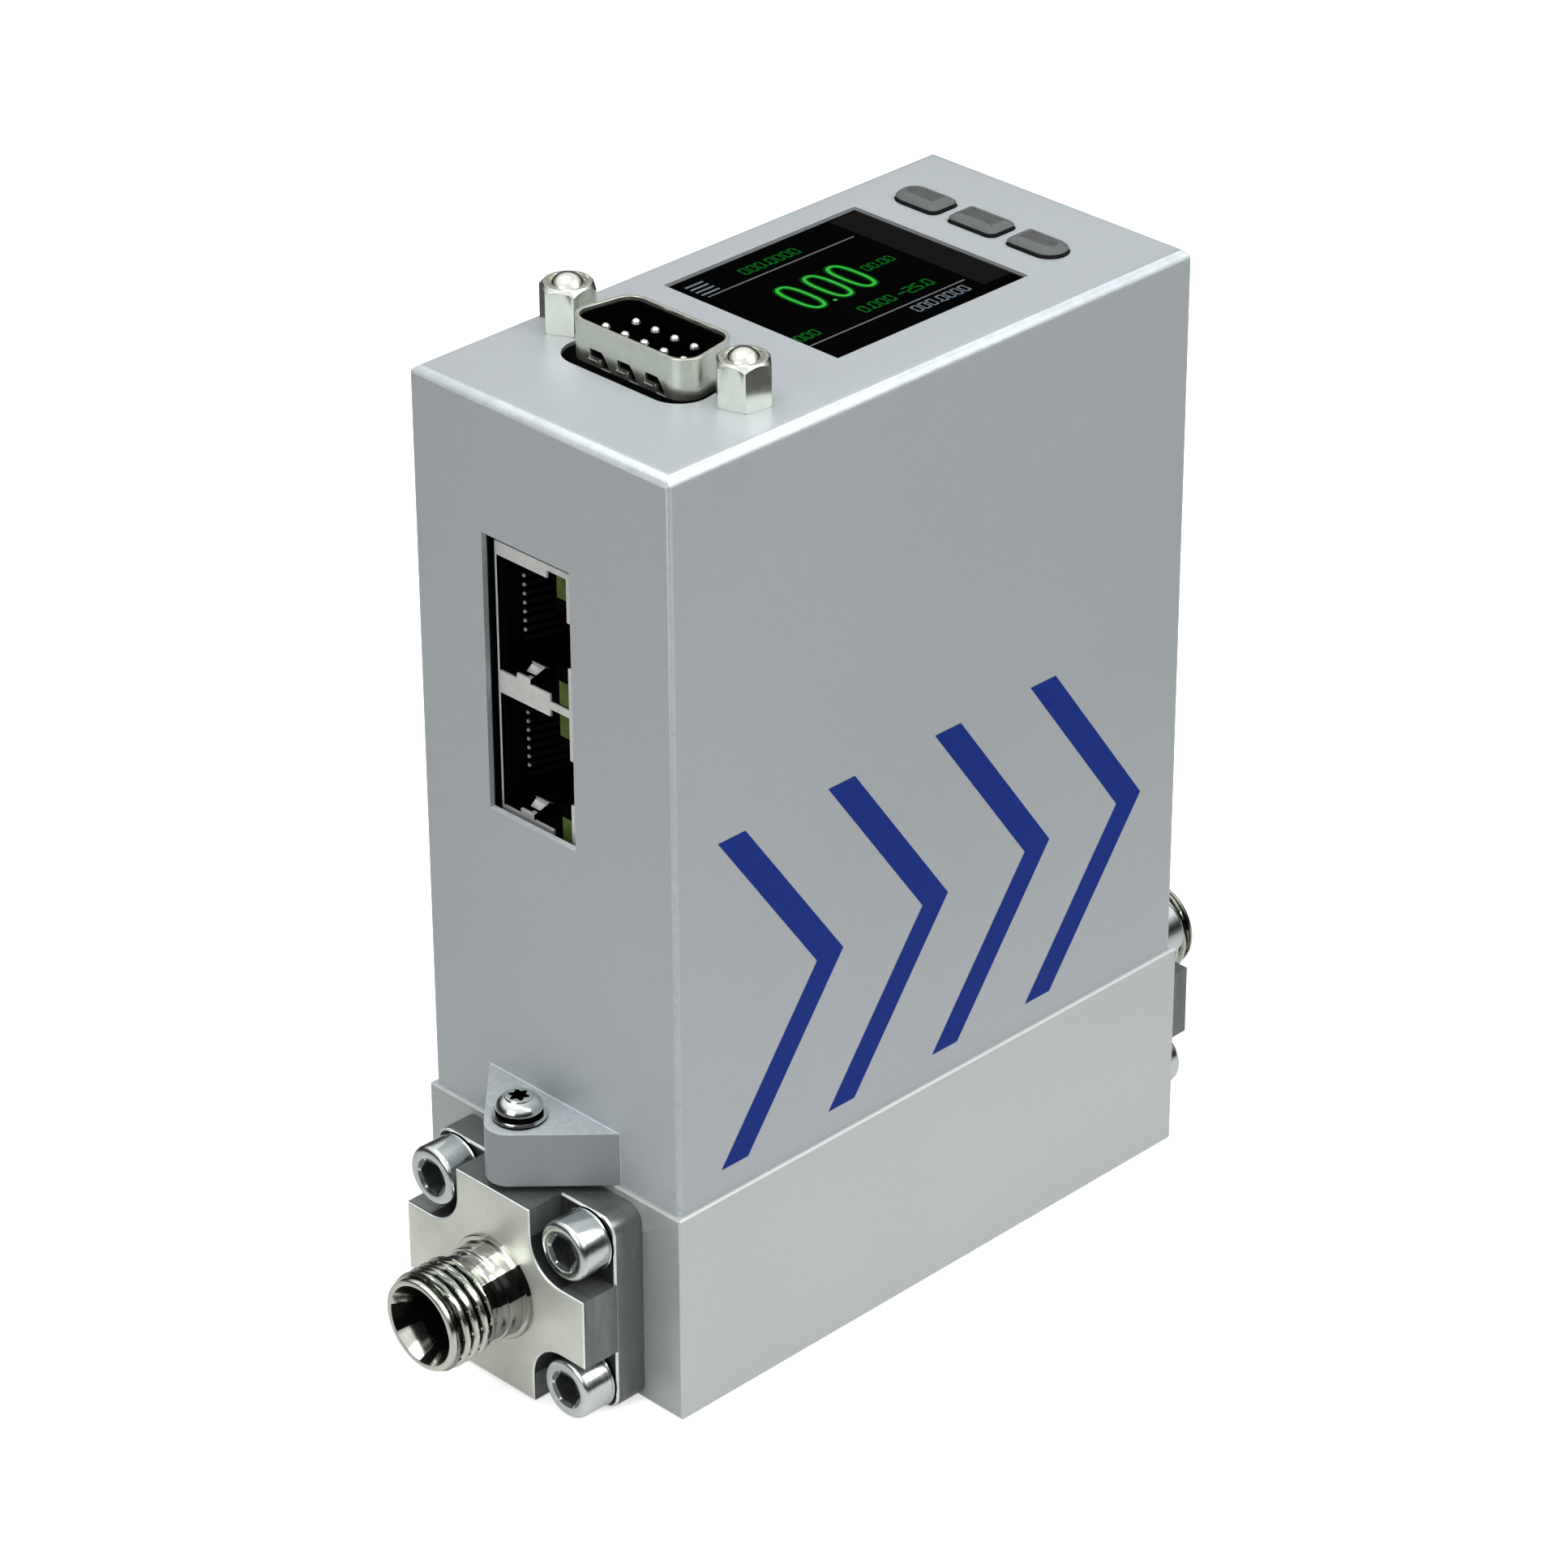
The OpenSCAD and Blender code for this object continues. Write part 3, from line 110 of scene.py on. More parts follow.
def joined(shells: list[Shell]) -> Shell:
    """Puts several shells into one.

    Args:
        shells: The shells, in any order.

    Returns:
        One shell that holds all of them.
    """
    starts = np.cumsum([0] + [len(s.points) for s in shells])
    faces = [f + start for s, start in zip(shells, starts) for f in s.faces]
    return Shell(np.vstack([s.points for s in shells]), faces)


def loft(rings: np.ndarray, capped: bool = True) -> Shell:
    """Joins closed rings of equally many points into a tube.

    Ring i and point j give face (i, j), (i, j+1), (i+1, j+1), (i+1, j), with j running round.
    The rings run anticlockwise as seen from the last ring, so the faces point outwards.

    Args:
        rings: Array of rings by points by three.
        capped: Whether the first and last ring are closed with a face.

    Returns:
        The tube.
    """
    count, around = rings.shape[:2]
    i, j = np.meshgrid(np.arange(count - 1), np.arange(around), indexing="ij")
    k = (j + 1) % around
    here, above = i * around, (i + 1) * around
    quads = np.stack([here + j, here + k, above + k, above + j], -1)
    faces = [quads.reshape(-1, 4)]
    if capped:
        ring = np.arange(around)[None]
        faces += [ring[:, ::-1], ring + (count - 1) * around]
    return Shell(rings.reshape(-1, 3), faces)


def lathe(profile: list[tuple[float, float]], around: int = 64, closed: bool = False) -> Shell:
    """Turns a profile about the z axis: x = r cos a, y = r sin a, z = z.

    Args:
        profile: Radius and height of each point, from the bottom up on the outside.
        around: Number of points round the axis.
        closed: Whether the profile's end joins its start, as for a washer.

    Returns:
        The turned shell.
    """
    line = np.array(profile + profile[:1] if closed else profile, float)
    angle = np.arange(around) * 2 * np.pi / around
    rings = np.stack([np.outer(line[:, 0], np.cos(angle)), np.outer(line[:, 0], np.sin(angle)),
                      np.repeat(line[:, 1:], around, 1)], -1)
    return loft(rings, capped=not closed)


def arc(centre: tuple[float, float], radius: float, start: float, end: float, steps: int) -> np.ndarray:
    """Points of an arc in a plane.

    Args:
        centre: Centre of the arc.
        radius: Radius of the arc.
        start: First angle in degrees.
        end: Last angle in degrees.
        steps: Number of stretches between the points.

    Returns:
        One row of two numbers for each point.
    """
    a = np.radians(np.linspace(start, end, steps + 1))
    return np.array(centre) + radius * np.stack([np.cos(a), np.sin(a)], -1)


def rounded_outline(corners: list[tuple[float, float, float]], steps: int) -> np.ndarray:
    """Outline of a polygon whose corners are rounded, each by an arc that touches both its sides.

    Args:
        corners: The x, y and radius of each corner, anticlockwise.
        steps: Number of stretches in each arc.

    Returns:
        The outline's points.
    """
    points = []
    before, after = corners[-1:] + corners[:-1], corners[1:] + corners[:1]
    for (bx, by, _), (x, y, radius), (ax, ay, _) in zip(before, corners, after):
        into = np.array([x - bx, y - by]) / math.hypot(x - bx, y - by)
        out = np.array([ax - x, ay - y]) / math.hypot(ax - x, ay - y)
        turn = math.atan2(into[0] * out[1] - into[1] * out[0], into @ out)
        side = math.copysign(1, turn)
        start = np.array([x, y]) - into * radius * abs(math.tan(turn / 2))
        centre = start + side * radius * np.array([-into[1], into[0]])
        first = math.degrees(math.atan2(-side * into[0], side * into[1]))
        points.append(arc(tuple(centre), radius, first, first + math.degrees(turn), steps))
    return np.vstack(points)


def inset(outline: np.ndarray, distance: float) -> np.ndarray:
    """Moves an anticlockwise outline inwards, each point along the mean of its two sides' normals.

    Args:
        outline: The outline's points.
        distance: How far it moves inwards.

    Returns:
        The new outline, point for point.
    """
    into = outline - np.roll(outline, 1, 0)
    out = np.roll(outline, -1, 0) - outline
    normals = [np.stack([-s[:, 1], s[:, 0]], -1) / np.maximum(np.linalg.norm(s, axis=1), 1e-9)[:, None]
               for s in (into, out)]
    mean = normals[0] + normals[1]
    mean /= np.maximum(np.linalg.norm(mean, axis=1), 1e-9)[:, None]
    least_lean = 0.3
    lean = np.maximum((mean * normals[1]).sum(1), least_lean)
    return outline + mean * (distance / lean)[:, None]


def plate(outline: np.ndarray, low: float, high: float, round_low: float, round_high: float,
          steps: int = 4) -> Shell:
    """Carries an outline from one height to another, with its two rims rounded by quarter arcs.

    Args:
        outline: The anticlockwise outline.
        low: Height of the lower face.
        high: Height of the upper face.
        round_low: Radius of the lower rim.
        round_high: Radius of the upper rim.
        steps: Number of stretches in each rim.

    Returns:
        The closed plate.
    """
    a = np.linspace(0, np.pi / 2, steps + 1)
    lower = [(round_low * (1 - np.sin(t)), low + round_low * (1 - np.cos(t))) for t in a]
    upper = [(round_high * (1 - np.cos(t)), high - round_high * (1 - np.sin(t))) for t in a]
    rings = [np.column_stack([inset(outline, d), np.full(len(outline), z)]) for d, z in lower + upper]
    return loft(np.array(rings))


def turned_rings(radii: list[np.ndarray], heights: list[float]) -> np.ndarray:
    """Rings about the z axis, each with its own radius at every angle.

    Args:
        radii: For each ring, the radius at evenly spaced angles.
        heights: Height of each ring.

    Returns:
        Array of rings by points by three.
    """
    angle = np.arange(len(radii[0])) * 2 * np.pi / len(radii[0])
    return np.array([np.stack([r * np.cos(angle), r * np.sin(angle), np.full(len(r), z)], -1)
                     for r, z in zip(radii, heights)])


def socket_head(radius: float, height: float, flats: float, depth: float, rim: float,
                around: int = 72) -> Shell:
    """Round screw head whose top runs into a six-sided socket.

    Round the axis the socket's wall is at flats / 2 / cos(angle from the nearest flat's middle),
    and the chamfer round the socket is a little wider than its corners.

    Args:
        radius: Radius of the head.
        height: Height of the head.
        flats: Size of the socket across its flats.
        depth: Depth of the socket.
        rim: Radius of the rounding at the head's upper edge.
        around: Number of points round the axis.

    Returns:
        The closed head, standing on z = 0.
    """
    angle = np.arange(around) * 2 * np.pi / around
    hexagon = flats / 2 / np.cos((angle + np.pi / 6) % (np.pi / 3) - np.pi / 6)
    corner = arc((radius - rim, height - rim), rim, 0, 90, 5)
    foot, chamfer = 0.15, 0.12
    turned = [(radius - foot, 0.0), (radius, foot)] + [tuple(p) for p in corner]
    edge = 1.2 * flats / math.sqrt(3)
    turned += [(edge, height), (edge - chamfer, height - 0.05)]
    radii = [np.full(around, r) for r, _ in turned]
    radii += [hexagon, hexagon - 0.02, hexagon * 0.97, hexagon * 0.2]
    drops = [0.25, 0.35, depth, depth + 0.25]
    return loft(turned_rings(radii, [z for _, z in turned] + [height - d for d in drops]))


def threaded_tube(root: float, crest: float, low: float, high: float, pitch: float,
                  around: int = 96, per_turn: int = 12) -> Shell:
    """Outer surface of a thread: the radius is a rounded ridge of the height less the turn.

    With p the height in pitches less the turns made, r = root + (crest - root) * ridge(p), where
    ridge is 0.62 - 0.75 cos(2 pi p), cut off at 0 and 1, so crests and grooves are flat and their
    flanks soft. The ridge rises over half a pitch at the start and falls over a third at the end.

    Args:
        root: Radius at the bottom of the groove.
        crest: Radius at the top of the ridge.
        low: Height where the thread starts.
        high: Height where it ends.
        pitch: Rise of one turn.
        around: Number of points round the axis.
        per_turn: Number of rings in one pitch.

    Returns:
        The open tube.
    """
    heights = np.arange(low, high + 1e-6, pitch / per_turn)
    angle = np.arange(around) * 2 * np.pi / around
    z, a = np.meshgrid(heights, angle, indexing="ij")
    phase = (z - low) / pitch - a / (2 * np.pi)
    ridge = np.clip(0.62 - 0.75 * np.cos(2 * np.pi * phase), 0, 1)
    rise, fall = 0.5 * pitch, 0.35 * pitch
    fade = np.clip((z - low) / rise, 0, 1) * np.clip((high - z) / fall, 0, 1)
    r = root + (crest - root) * ridge * fade
    return loft(np.stack([r * np.cos(a), r * np.sin(a), z], -1), capped=False)


def ribbon(path: np.ndarray, width: float, height: float) -> Shell:
    """Flat band of even width along an open path, as two rows of points beside it.

    Args:
        path: The path's points in a plane.
        width: Width of the band.
        height: Height of the band above that plane.

    Returns:
        The band, facing +z.
    """
    into = np.diff(path, axis=0)
    into /= np.linalg.norm(into, axis=1)[:, None]
    before, after = np.vstack([into[:1], into]), np.vstack([into, into[-1:]])
    mean = before + after
    mean /= np.linalg.norm(mean, axis=1)[:, None]
    side = np.stack([-mean[:, 1], mean[:, 0]], -1)
    least_lean = 0.4
    reach = width / 2 / np.maximum((mean * after).sum(1), least_lean)
    left, right = path + side * reach[:, None], path - side * reach[:, None]
    points = np.column_stack([np.vstack([right, left]), np.full(2 * len(path), height)])
    n = len(path)
    i = np.arange(n - 1)
    return Shell(points, [np.stack([i, i + 1, n + i + 1, n + i], -1)])


def flat_polygon(outline: np.ndarray, height: float) -> Shell:
    """Flat face with a given anticlockwise outline.

    Args:
        outline: The outline's points.
        height: Height of the face.

    Returns:
        The face, facing +z.
    """
    points = np.column_stack([outline, np.full(len(outline), height)])
    return Shell(points, [np.arange(len(outline))[None]])


# ---- Finishes ----


def new_group(name: str, inputs: list[tuple[str, str, object]],
              outputs: list[tuple[str, str]]) -> bpy.types.NodeTree:
    """Makes an empty shader node group with named sockets.

    Args:
        name: Name of the group.
        inputs: Name, socket type and starting value of each input.
        outputs: Name and socket type of each output.

    Returns:
        The group, with its input and output nodes in place.
    """
    group = bpy.data.node_groups.new(name, "ShaderNodeTree")
    for label, kind, value in inputs:
        socket = group.interface.new_socket(label, in_out="INPUT", socket_type=kind)
        socket.default_value = value
    for label, kind in outputs:
        group.interface.new_socket(label, in_out="OUTPUT", socket_type=kind)
    group.nodes.new("NodeGroupInput").name = "in"
    group.nodes.new("NodeGroupOutput").name = "out"
    return group


def add_node(tree: bpy.types.NodeTree, kind: str, links: dict[str, object],
             **settings: object) -> bpy.types.Node:
    """Adds a node, sets it up and joins its inputs.

    Args:
        tree: Tree that gets the node.
        kind: The node's type.
        links: Value or output socket for each input, by its name, or by its number where the
            node has several inputs of one name.
        settings: Attributes of the node.

    Returns:
        The new node.
    """
    node = tree.nodes.new(kind)
    for key, value in settings.items():
        setattr(node, key, value)
    for key, value in links.items():
        socket = node.inputs[int(key)] if key.isdigit() else node.inputs[key]
        if isinstance(value, bpy.types.NodeSocket):
            tree.links.new(value, socket)
        else:
            socket.default_value = value
    return node


def math_node(tree: bpy.types.NodeTree, operation: str, *values: object) -> bpy.types.NodeSocket:
    """Adds a node for one sum.

    Args:
        tree: Tree that gets the node.
        operation: The sum's name.
        values: Numbers or output sockets that go in.

    Returns:
        The result's socket.
    """
    links = {str(i): value for i, value in enumerate(values)}
    return add_node(tree, "ShaderNodeMath", links, operation=operation).outputs[0]


def between(tree: bpy.types.NodeTree, value: bpy.types.NodeSocket, limits: tuple[float, float],
            results: tuple[object, object]) -> bpy.types.NodeSocket:
    """Carries a value's range over to another, and holds it at both ends.

    Args:
        tree: Tree that gets the node.
        value: The value's socket.
        limits: Two values.
        results: What they become: numbers or sockets.

    Returns:
        The result's socket.
    """
    links = {"Value": value, "From Min": limits[0], "From Max": limits[1], "To Min": results[0],
             "To Max": results[1]}
    return add_node(tree, "ShaderNodeMapRange", links).outputs[0]


def mixed(tree: bpy.types.NodeTree, share: bpy.types.NodeSocket, first: object,
          second: object) -> bpy.types.NodeSocket:
    """Mixes two colours.

    Args:
        tree: Tree that gets the node.
        share: Share of the second colour.
        first: First colour, or its socket.
        second: Second colour, or its socket.

    Returns:
        The mixed colour's socket.
    """
    node = add_node(tree, "ShaderNodeMix", {"Factor": share, "6": first, "7": second}, data_type="RGBA")
    return node.outputs[2]


def effect_group(name: str, scale: tuple[str, str, object]) -> bpy.types.NodeTree:
    """Starts a shared effect: inputs for place, size, two colours and two roughnesses.

    Args:
        name: Name of the group.
        scale: Name, socket type and starting value of the size input.

    Returns:
        The group.
    """
    inputs = [("Vector", "NodeSocketVector", (0, 0, 0)), scale,
              ("Dark", "NodeSocketColor", (0.4, 0.4, 0.4, 1)),
              ("Light", "NodeSocketColor", (0.5, 0.5, 0.5, 1)),
              ("Smooth", "NodeSocketFloat", 0.3), ("Rough", "NodeSocketFloat", 0.4)]
    outputs = [("Color", "NodeSocketColor"), ("Roughness", "NodeSocketFloat"), ("Height", "NodeSocketFloat")]
    return new_group(name, inputs, outputs)


def finish_group(group: bpy.types.NodeTree, shade: bpy.types.NodeSocket,
                 shade_range: tuple[float, float], height: bpy.types.NodeSocket,
                 roughness: tuple[str, str]) -> bpy.types.NodeTree:
    """Ends a shared effect: one pattern mixes the colours, another gives roughness and height.

    Args:
        group: The group.
        shade: Pattern of the colour.
        shade_range: Values of that pattern for the dark and the light colour.
        height: Pattern of the relief.
        roughness: Inputs that give the roughness of its low and its high places.

    Returns:
        The group.
    """
    start, end = group.nodes["in"].outputs, group.nodes["out"]
    colour = mixed(group, between(group, shade, shade_range, (0.0, 1.0)), start["Dark"], start["Light"])
    gloss = between(group, height, (0.3, 0.7), (start[roughness[0]], start[roughness[1]]))
    group.links.new(colour, end.inputs["Color"])
    group.links.new(gloss, end.inputs["Roughness"])
    group.links.new(height, end.inputs["Height"])
    return group


def grain_group() -> bpy.types.NodeTree:
    """Even grain: a wide soft noise with a fine one shades the colour, and the fine one gives relief.

    Returns:
        The group.
    """
    group = effect_group("fine_grain", ("Scale", "NodeSocketFloat", 900.0))
    start = group.nodes["in"].outputs
    wide = add_node(group, "ShaderNodeTexNoise", {"Vector": start["Vector"], "Scale": 22.0, "Detail": 3.0})
    fine = add_node(group, "ShaderNodeTexNoise", {"Vector": start["Vector"], "Scale": start["Scale"],
                                                  "Detail": 4.0, "Roughness": 0.65})
    share = math_node(group, "MULTIPLY", fine.outputs["Fac"], 0.55)
    both = math_node(group, "MULTIPLY_ADD", wide.outputs["Fac"], 0.45, share)
    return finish_group(group, both, (0.35, 0.65), fine.outputs["Fac"], ("Smooth", "Rough"))


def brushed_group() -> bpy.types.NodeTree:
    """Tool marks: noise stretched along one way shades colour, roughness and height.

    Returns:
        The group.
    """
    group = effect_group("tool_marks", ("Scale", "NodeSocketVector", (1, 1, 1)))
    start = group.nodes["in"].outputs
    scaled = add_node(group, "ShaderNodeVectorMath", {"0": start["Vector"], "1": start["Scale"]},
                      operation="MULTIPLY")
    marks = add_node(group, "ShaderNodeTexNoise", {"Vector": scaled.outputs[0], "Scale": 1.0,
                                                   "Detail": 5.0, "Roughness": 0.6}).outputs["Fac"]
    return finish_group(group, marks, (0.3, 0.7), marks, ("Rough", "Smooth"))


class Pattern(Enum):
    """The shared effect that a finish uses."""

    GRAIN = "fine_grain"
    TOOL_MARKS = "tool_marks"

    def group(self) -> bpy.types.NodeTree:
        """The effect's node group, made when it is first asked for."""
        build = grain_group if self is Pattern.GRAIN else brushed_group
        return bpy.data.node_groups.get(self.value) or build()


@dataclass(frozen=True)
class Finish:
    """A surface finish.

    Attributes:
        name: Name of the finish.
        dark: Darker colour of its pattern, linear.
        light: Lighter colour of its pattern, linear.
        metallic: Share of metal.
        smooth: Lowest roughness.
        rough: Highest roughness.
        pattern: The shared effect.
        scale: Points of grain in a metre, or how tool marks stretch.
        relief: Depth of the bump in millimetres.
        specular: Level of the mirror-like share of a surface that isn't metal.
        glow: Strength of its own light.
    """

    name: str
    dark: tuple[float, float, float]
    light: tuple[float, float, float]
    metallic: float = 0.0
    smooth: float = 0.3
    rough: float = 0.5
    pattern: Pattern = Pattern.GRAIN
    scale: float | tuple[float, float, float] = 900.0
    relief: float = 0.01
    specular: float = 0.5
    glow: float = 0.0

    def material(self) -> bpy.types.Material:
        """Builds the material, or gives the one that was built before.

        Returns:
            The material, named after the finish.
        """
        title = f"finish.{self.name}"
        made = bpy.data.materials.get(title)
        if made:
            return made
        made = bpy.data.materials.new(title)
        made.use_nodes = True
        tree = made.node_tree
        shader = tree.nodes["Principled BSDF"]
        place = tree.nodes.new("ShaderNodeTexCoord").outputs["Object"]
        effect = add_node(tree, "ShaderNodeGroup", {}, node_tree=self.pattern.group())
        tree.links.new(place, effect.inputs["Vector"])
        for key, value in {"Dark": (*self.dark, 1), "Light": (*self.light, 1), "Smooth": self.smooth,
                           "Rough": self.rough, "Scale": self.scale}.items():
            effect.inputs[key].default_value = value
        bump = add_node(tree, "ShaderNodeBump", {"Height": effect.outputs["Height"], "Strength": 0.6,
                                                 "Distance": self.relief * MM})
        tree.links.new(effect.outputs["Color"], shader.inputs["Base Color"])
        tree.links.new(effect.outputs["Roughness"], shader.inputs["Roughness"])
        tree.links.new(bump.outputs["Normal"], shader.inputs["Normal"])
        shader.inputs["Metallic"].default_value = self.metallic
        shader.inputs["Specular IOR Level"].default_value = self.specular
        if self.glow:
            tree.links.new(effect.outputs["Color"], shader.inputs["Emission Color"])
            shader.inputs["Emission Strength"].default_value = self.glow
        return made


def even(name: str, level: float, tint: tuple[float, float, float] = (1, 1, 1), spread: float = 0.1,
         **settings: object) -> Finish:
    """Finish whose two colours are one level and tint, a little darker and a little lighter.

    Args:
        name: Name of the finish.
        level: Mean level, linear.
        tint: Share of red, green and blue.
        spread: How far the two colours lie apart, as a share of the level.
        settings: Any other value of the finish.

    Returns:
        The finish.
    """
    dark, light = (tuple(level * side * share for share in tint) for side in (1 - spread, 1 + spread))
    return Finish(name, dark, light, **settings)


# Tints, and settings that several finishes share.
COOL, WARM, GREY = (0.925, 1.0, 1.045), (0.97, 1.0, 0.90), (0.935, 1.0, 0.985)
TURNED = {"pattern": Pattern.TOOL_MARKS, "scale": (2600.0, 60.0, 60.0), "relief": 0.006}
MILLED = {"pattern": Pattern.TOOL_MARKS, "scale": (900.0, 120.0, 120.0), "relief": 0.004}
SCREEN = {"relief": 0.0, "specular": 0.0}
COVER_PAINT = even("satin_grey_cover", 0.47, COOL, 0.05, metallic=0.3, smooth=0.42, rough=0.52,
                   scale=2600.0, relief=0.006)
# Lighter, glossier finish for the cover's rounded edges and bevels: a painted highlight.
COVER_EDGE_HIGHLIGHT = even("painted_highlight_cover_edge", 0.68, COOL, 0.12, metallic=0.3, smooth=0.34, rough=0.46,
                  scale=650.0, relief=0.02)
# A little lighter than the paint on the upright corners: a painted highlight.
COVER_CORNER_HIGHLIGHT = even("painted_highlight_upright_corner", 0.52, COOL, 0.12, metallic=0.3, smooth=0.4, rough=0.5,
                    scale=1400.0)
# Near white, for the opening's lower lip and the lines where the ears meet the walls: a painted highlight.
COVER_LINE_HIGHLIGHT = even("painted_highlight_cover_line", 0.85, COOL, 0.15, metallic=0.2, smooth=0.3, rough=0.4,
                  scale=900.0, relief=0.02)
# Lighter than the paint on the ears' upper faces: painted light.
EAR_TOP_LIGHT = even("painted_light_ear_top", 0.60, COOL, 0.16, metallic=0.3, smooth=0.42, rough=0.52, scale=1500.0)
EAR_SIDE = even("shaded_ear_side", 0.31, COOL, 0.06, metallic=0.3, smooth=0.42, rough=0.52,
                scale=2600.0, relief=0.006)
BLOCK_STEEL = even("blasted_steel_block", 0.57, GREY, 0.04, metallic=0.35, smooth=0.4, rough=0.5,
                   scale=2000.0, relief=0.006)
# Darker than the block on its ends and underside chamfer: painted shade.
BLOCK_END_SHADE = even("painted_shade_block_end", 0.50, GREY, 0.06, metallic=0.5, smooth=0.38, rough=0.5,
                 scale=1800.0, relief=0.006)
# Near white on steel bevels and rims: a painted highlight.
STEEL_EDGE_HIGHLIGHT = even("painted_highlight_steel_edge", 0.9, GREY, 0.08, metallic=0.5, smooth=0.25, rough=0.35,
                  scale=900.0, relief=0.004)
FACE_STEEL = even("faced_steel", 0.74, WARM, 0.10, metallic=0.6, smooth=0.32, rough=0.42, **MILLED)
# Much darker than the flange's faces on its sides: a painted dark reflection over real tool marks.
FLANGE_SIDE_REFLECTION = even("painted_dark_reflection_milled_side", 0.18, GREY, 0.16, metallic=0.6, smooth=0.24, rough=0.36,
                  **MILLED)
RELIEF_DARK = even("shaded_relief", 0.05, GREY, 0.2, metallic=0.6, smooth=0.4, rough=0.55,
                   scale=1500.0, relief=0.004, specular=0.2)
TURNED_STEEL = even("turned_steel", 0.72, WARM, 0.10, metallic=1.0, smooth=0.10, rough=0.18, **TURNED)
# Near black in the thread's grooves: painted shade.
THREAD_GROOVE_SHADE = even("painted_shade_thread_groove", 0.05, WARM, 0.3, metallic=1.0, smooth=0.2, rough=0.3,
                   scale=1500.0, relief=0.004)
# Darker turned steel in bands round the stub: a painted reflection.
TURNED_MID_REFLECTION = even("painted_reflection_turned_steel_mid", 0.30, WARM, 0.15, metallic=1.0, smooth=0.13, rough=0.22,
                  **TURNED)
# Near black turned steel: painted dark reflection in bands round the stub and cone, and painted shade in the
# bore.
TURNED_DARK_REFLECTION_AND_SHADE = even("painted_dark_reflection_and_shade_turned_steel", 0.012, WARM, 0.3, metallic=0.8, smooth=0.2, rough=0.3,
                    specular=0.1, **TURNED)
BRIGHT_STEEL = even("bright_screw_steel", 0.80, GREY, 0.08, metallic=1.0, smooth=0.13, rough=0.24,
                    scale=1500.0, relief=0.004)
# Dark inside screw sockets: painted shade.
SOCKET_SHADE = even("painted_shade_screw_socket", 0.22, GREY, 0.3, metallic=0.9, smooth=0.25, rough=0.4,
                   scale=1500.0, relief=0.004)
PLATED_STEEL = even("plated_steel", 0.74, WARM, 0.10, metallic=0.9, smooth=0.18, rough=0.28,
                    scale=1100.0, relief=0.004)
JACK_STEEL = even("jackscrew_steel", 0.85, WARM, 0.10, metallic=1.0, smooth=0.14, rough=0.24,
                  scale=1100.0, relief=0.004)
SHIELD_TIN = even("tinned_shield", 0.66, (1.0, 1.0, 0.97), 0.12, metallic=0.3, smooth=0.3, rough=0.45,
                  scale=1100.0, relief=0.004)
SHADOW_BLACK = even("shadow_black", 0.0015, smooth=0.7, rough=0.9, scale=1600.0, specular=0.0)
BLACK_PLASTIC = even("black_plastic", 0.0035, (1, 1, 1.15), 0.3, smooth=0.5, rough=0.6,
                     scale=1600.0, specular=0.02)
BLACK_RUBBER = even("black_rubber", 0.0025, spread=0.3, smooth=0.7, rough=0.9, scale=1200.0,
                    specular=0.0)
KEY_TOP = even("grey_key_top", 0.078, GREY, 0.12, smooth=0.55, rough=0.7, scale=1800.0, relief=0.02,
               specular=0.3)
# Lighter than the key's top on its slope: painted light.
KEY_SLOPE_LIGHT = even("painted_light_key_slope", 0.12, GREY, 0.10, smooth=0.5, rough=0.66, scale=1800.0,
                 relief=0.02, specular=0.3)
# Near black on the key's upright sides: painted shade.
KEY_SIDE_SHADE = even("painted_shade_key_side", 0.008, spread=0.2, smooth=0.6, rough=0.75, scale=1800.0, specular=0.15)
GOLD_CONTACT = even("plated_contact", 0.86, (1.0, 0.98, 0.92), 0.06, metallic=0.9, smooth=0.16,
                    rough=0.26, scale=900.0, relief=0.002)
# Near black for the network contacts, which sit in shade: painted shade.
SHADED_CONTACT = even("painted_shade_contact", 0.004, spread=0.3, smooth=0.6, rough=0.8, specular=0.05)
# Grey beads at the contacts' tips: a painted glint.
CONTACT_GLINT = even("painted_glint_contact_tip", 0.36, spread=0.15, smooth=0.4, rough=0.5, specular=0.3)
LAMP_GREEN = even("lamp_plastic", 0.085, (0.62, 1.0, 0.20), 0.45, smooth=0.25, rough=0.35, scale=500.0,
                  specular=0.3)
# Far darker than a board's green: painted shade inside the cover.
SHADED_CIRCUIT_GREEN = even("circuit_board", 0.006, (0.15, 1.0, 0.4), 0.2, smooth=0.5, rough=0.6,
                     scale=1500.0, specular=0.0)
PALE_PLASTIC = even("pale_plastic", 0.62, (1.0, 0.95, 0.8), 0.07, smooth=0.4, rough=0.55)
COPPER = even("copper_wire", 0.45, (1.0, 0.34, 0.13), 0.25, metallic=0.8, smooth=0.25, rough=0.4,
              pattern=Pattern.TOOL_MARKS, scale=(40.0, 40.0, 5200.0), relief=0.03)
SINTERED = even("sintered_metal", 0.37, WARM, 0.2, metallic=0.8, smooth=0.45, rough=0.65,
                scale=3500.0, relief=0.03)
PLAIN_METAL = even("plain_metal", 0.47, metallic=0.8, smooth=0.3, rough=0.45, scale=1100.0,
                   relief=0.004)
PRINT_BLUE = even("blue_print", 0.20, (0.02, 0.12, 1.0), 0.06, smooth=0.4, rough=0.5, scale=2600.0,
                  relief=0.004, specular=0.1)
WINDOW_BLACK = even("window_black", 0.0012, smooth=0.1, rough=0.14, scale=40.0, **SCREEN)
BEZEL_BROWN = even("bezel_brown", 0.007, (1.05, 1.0, 0.95), 0.1, smooth=0.3, rough=0.4, specular=0.0)
PIXEL_GREEN = even("lit_green", 0.22, (0.08, 1.0, 0.10), 0.08, scale=3000.0, glow=0.9, **SCREEN)
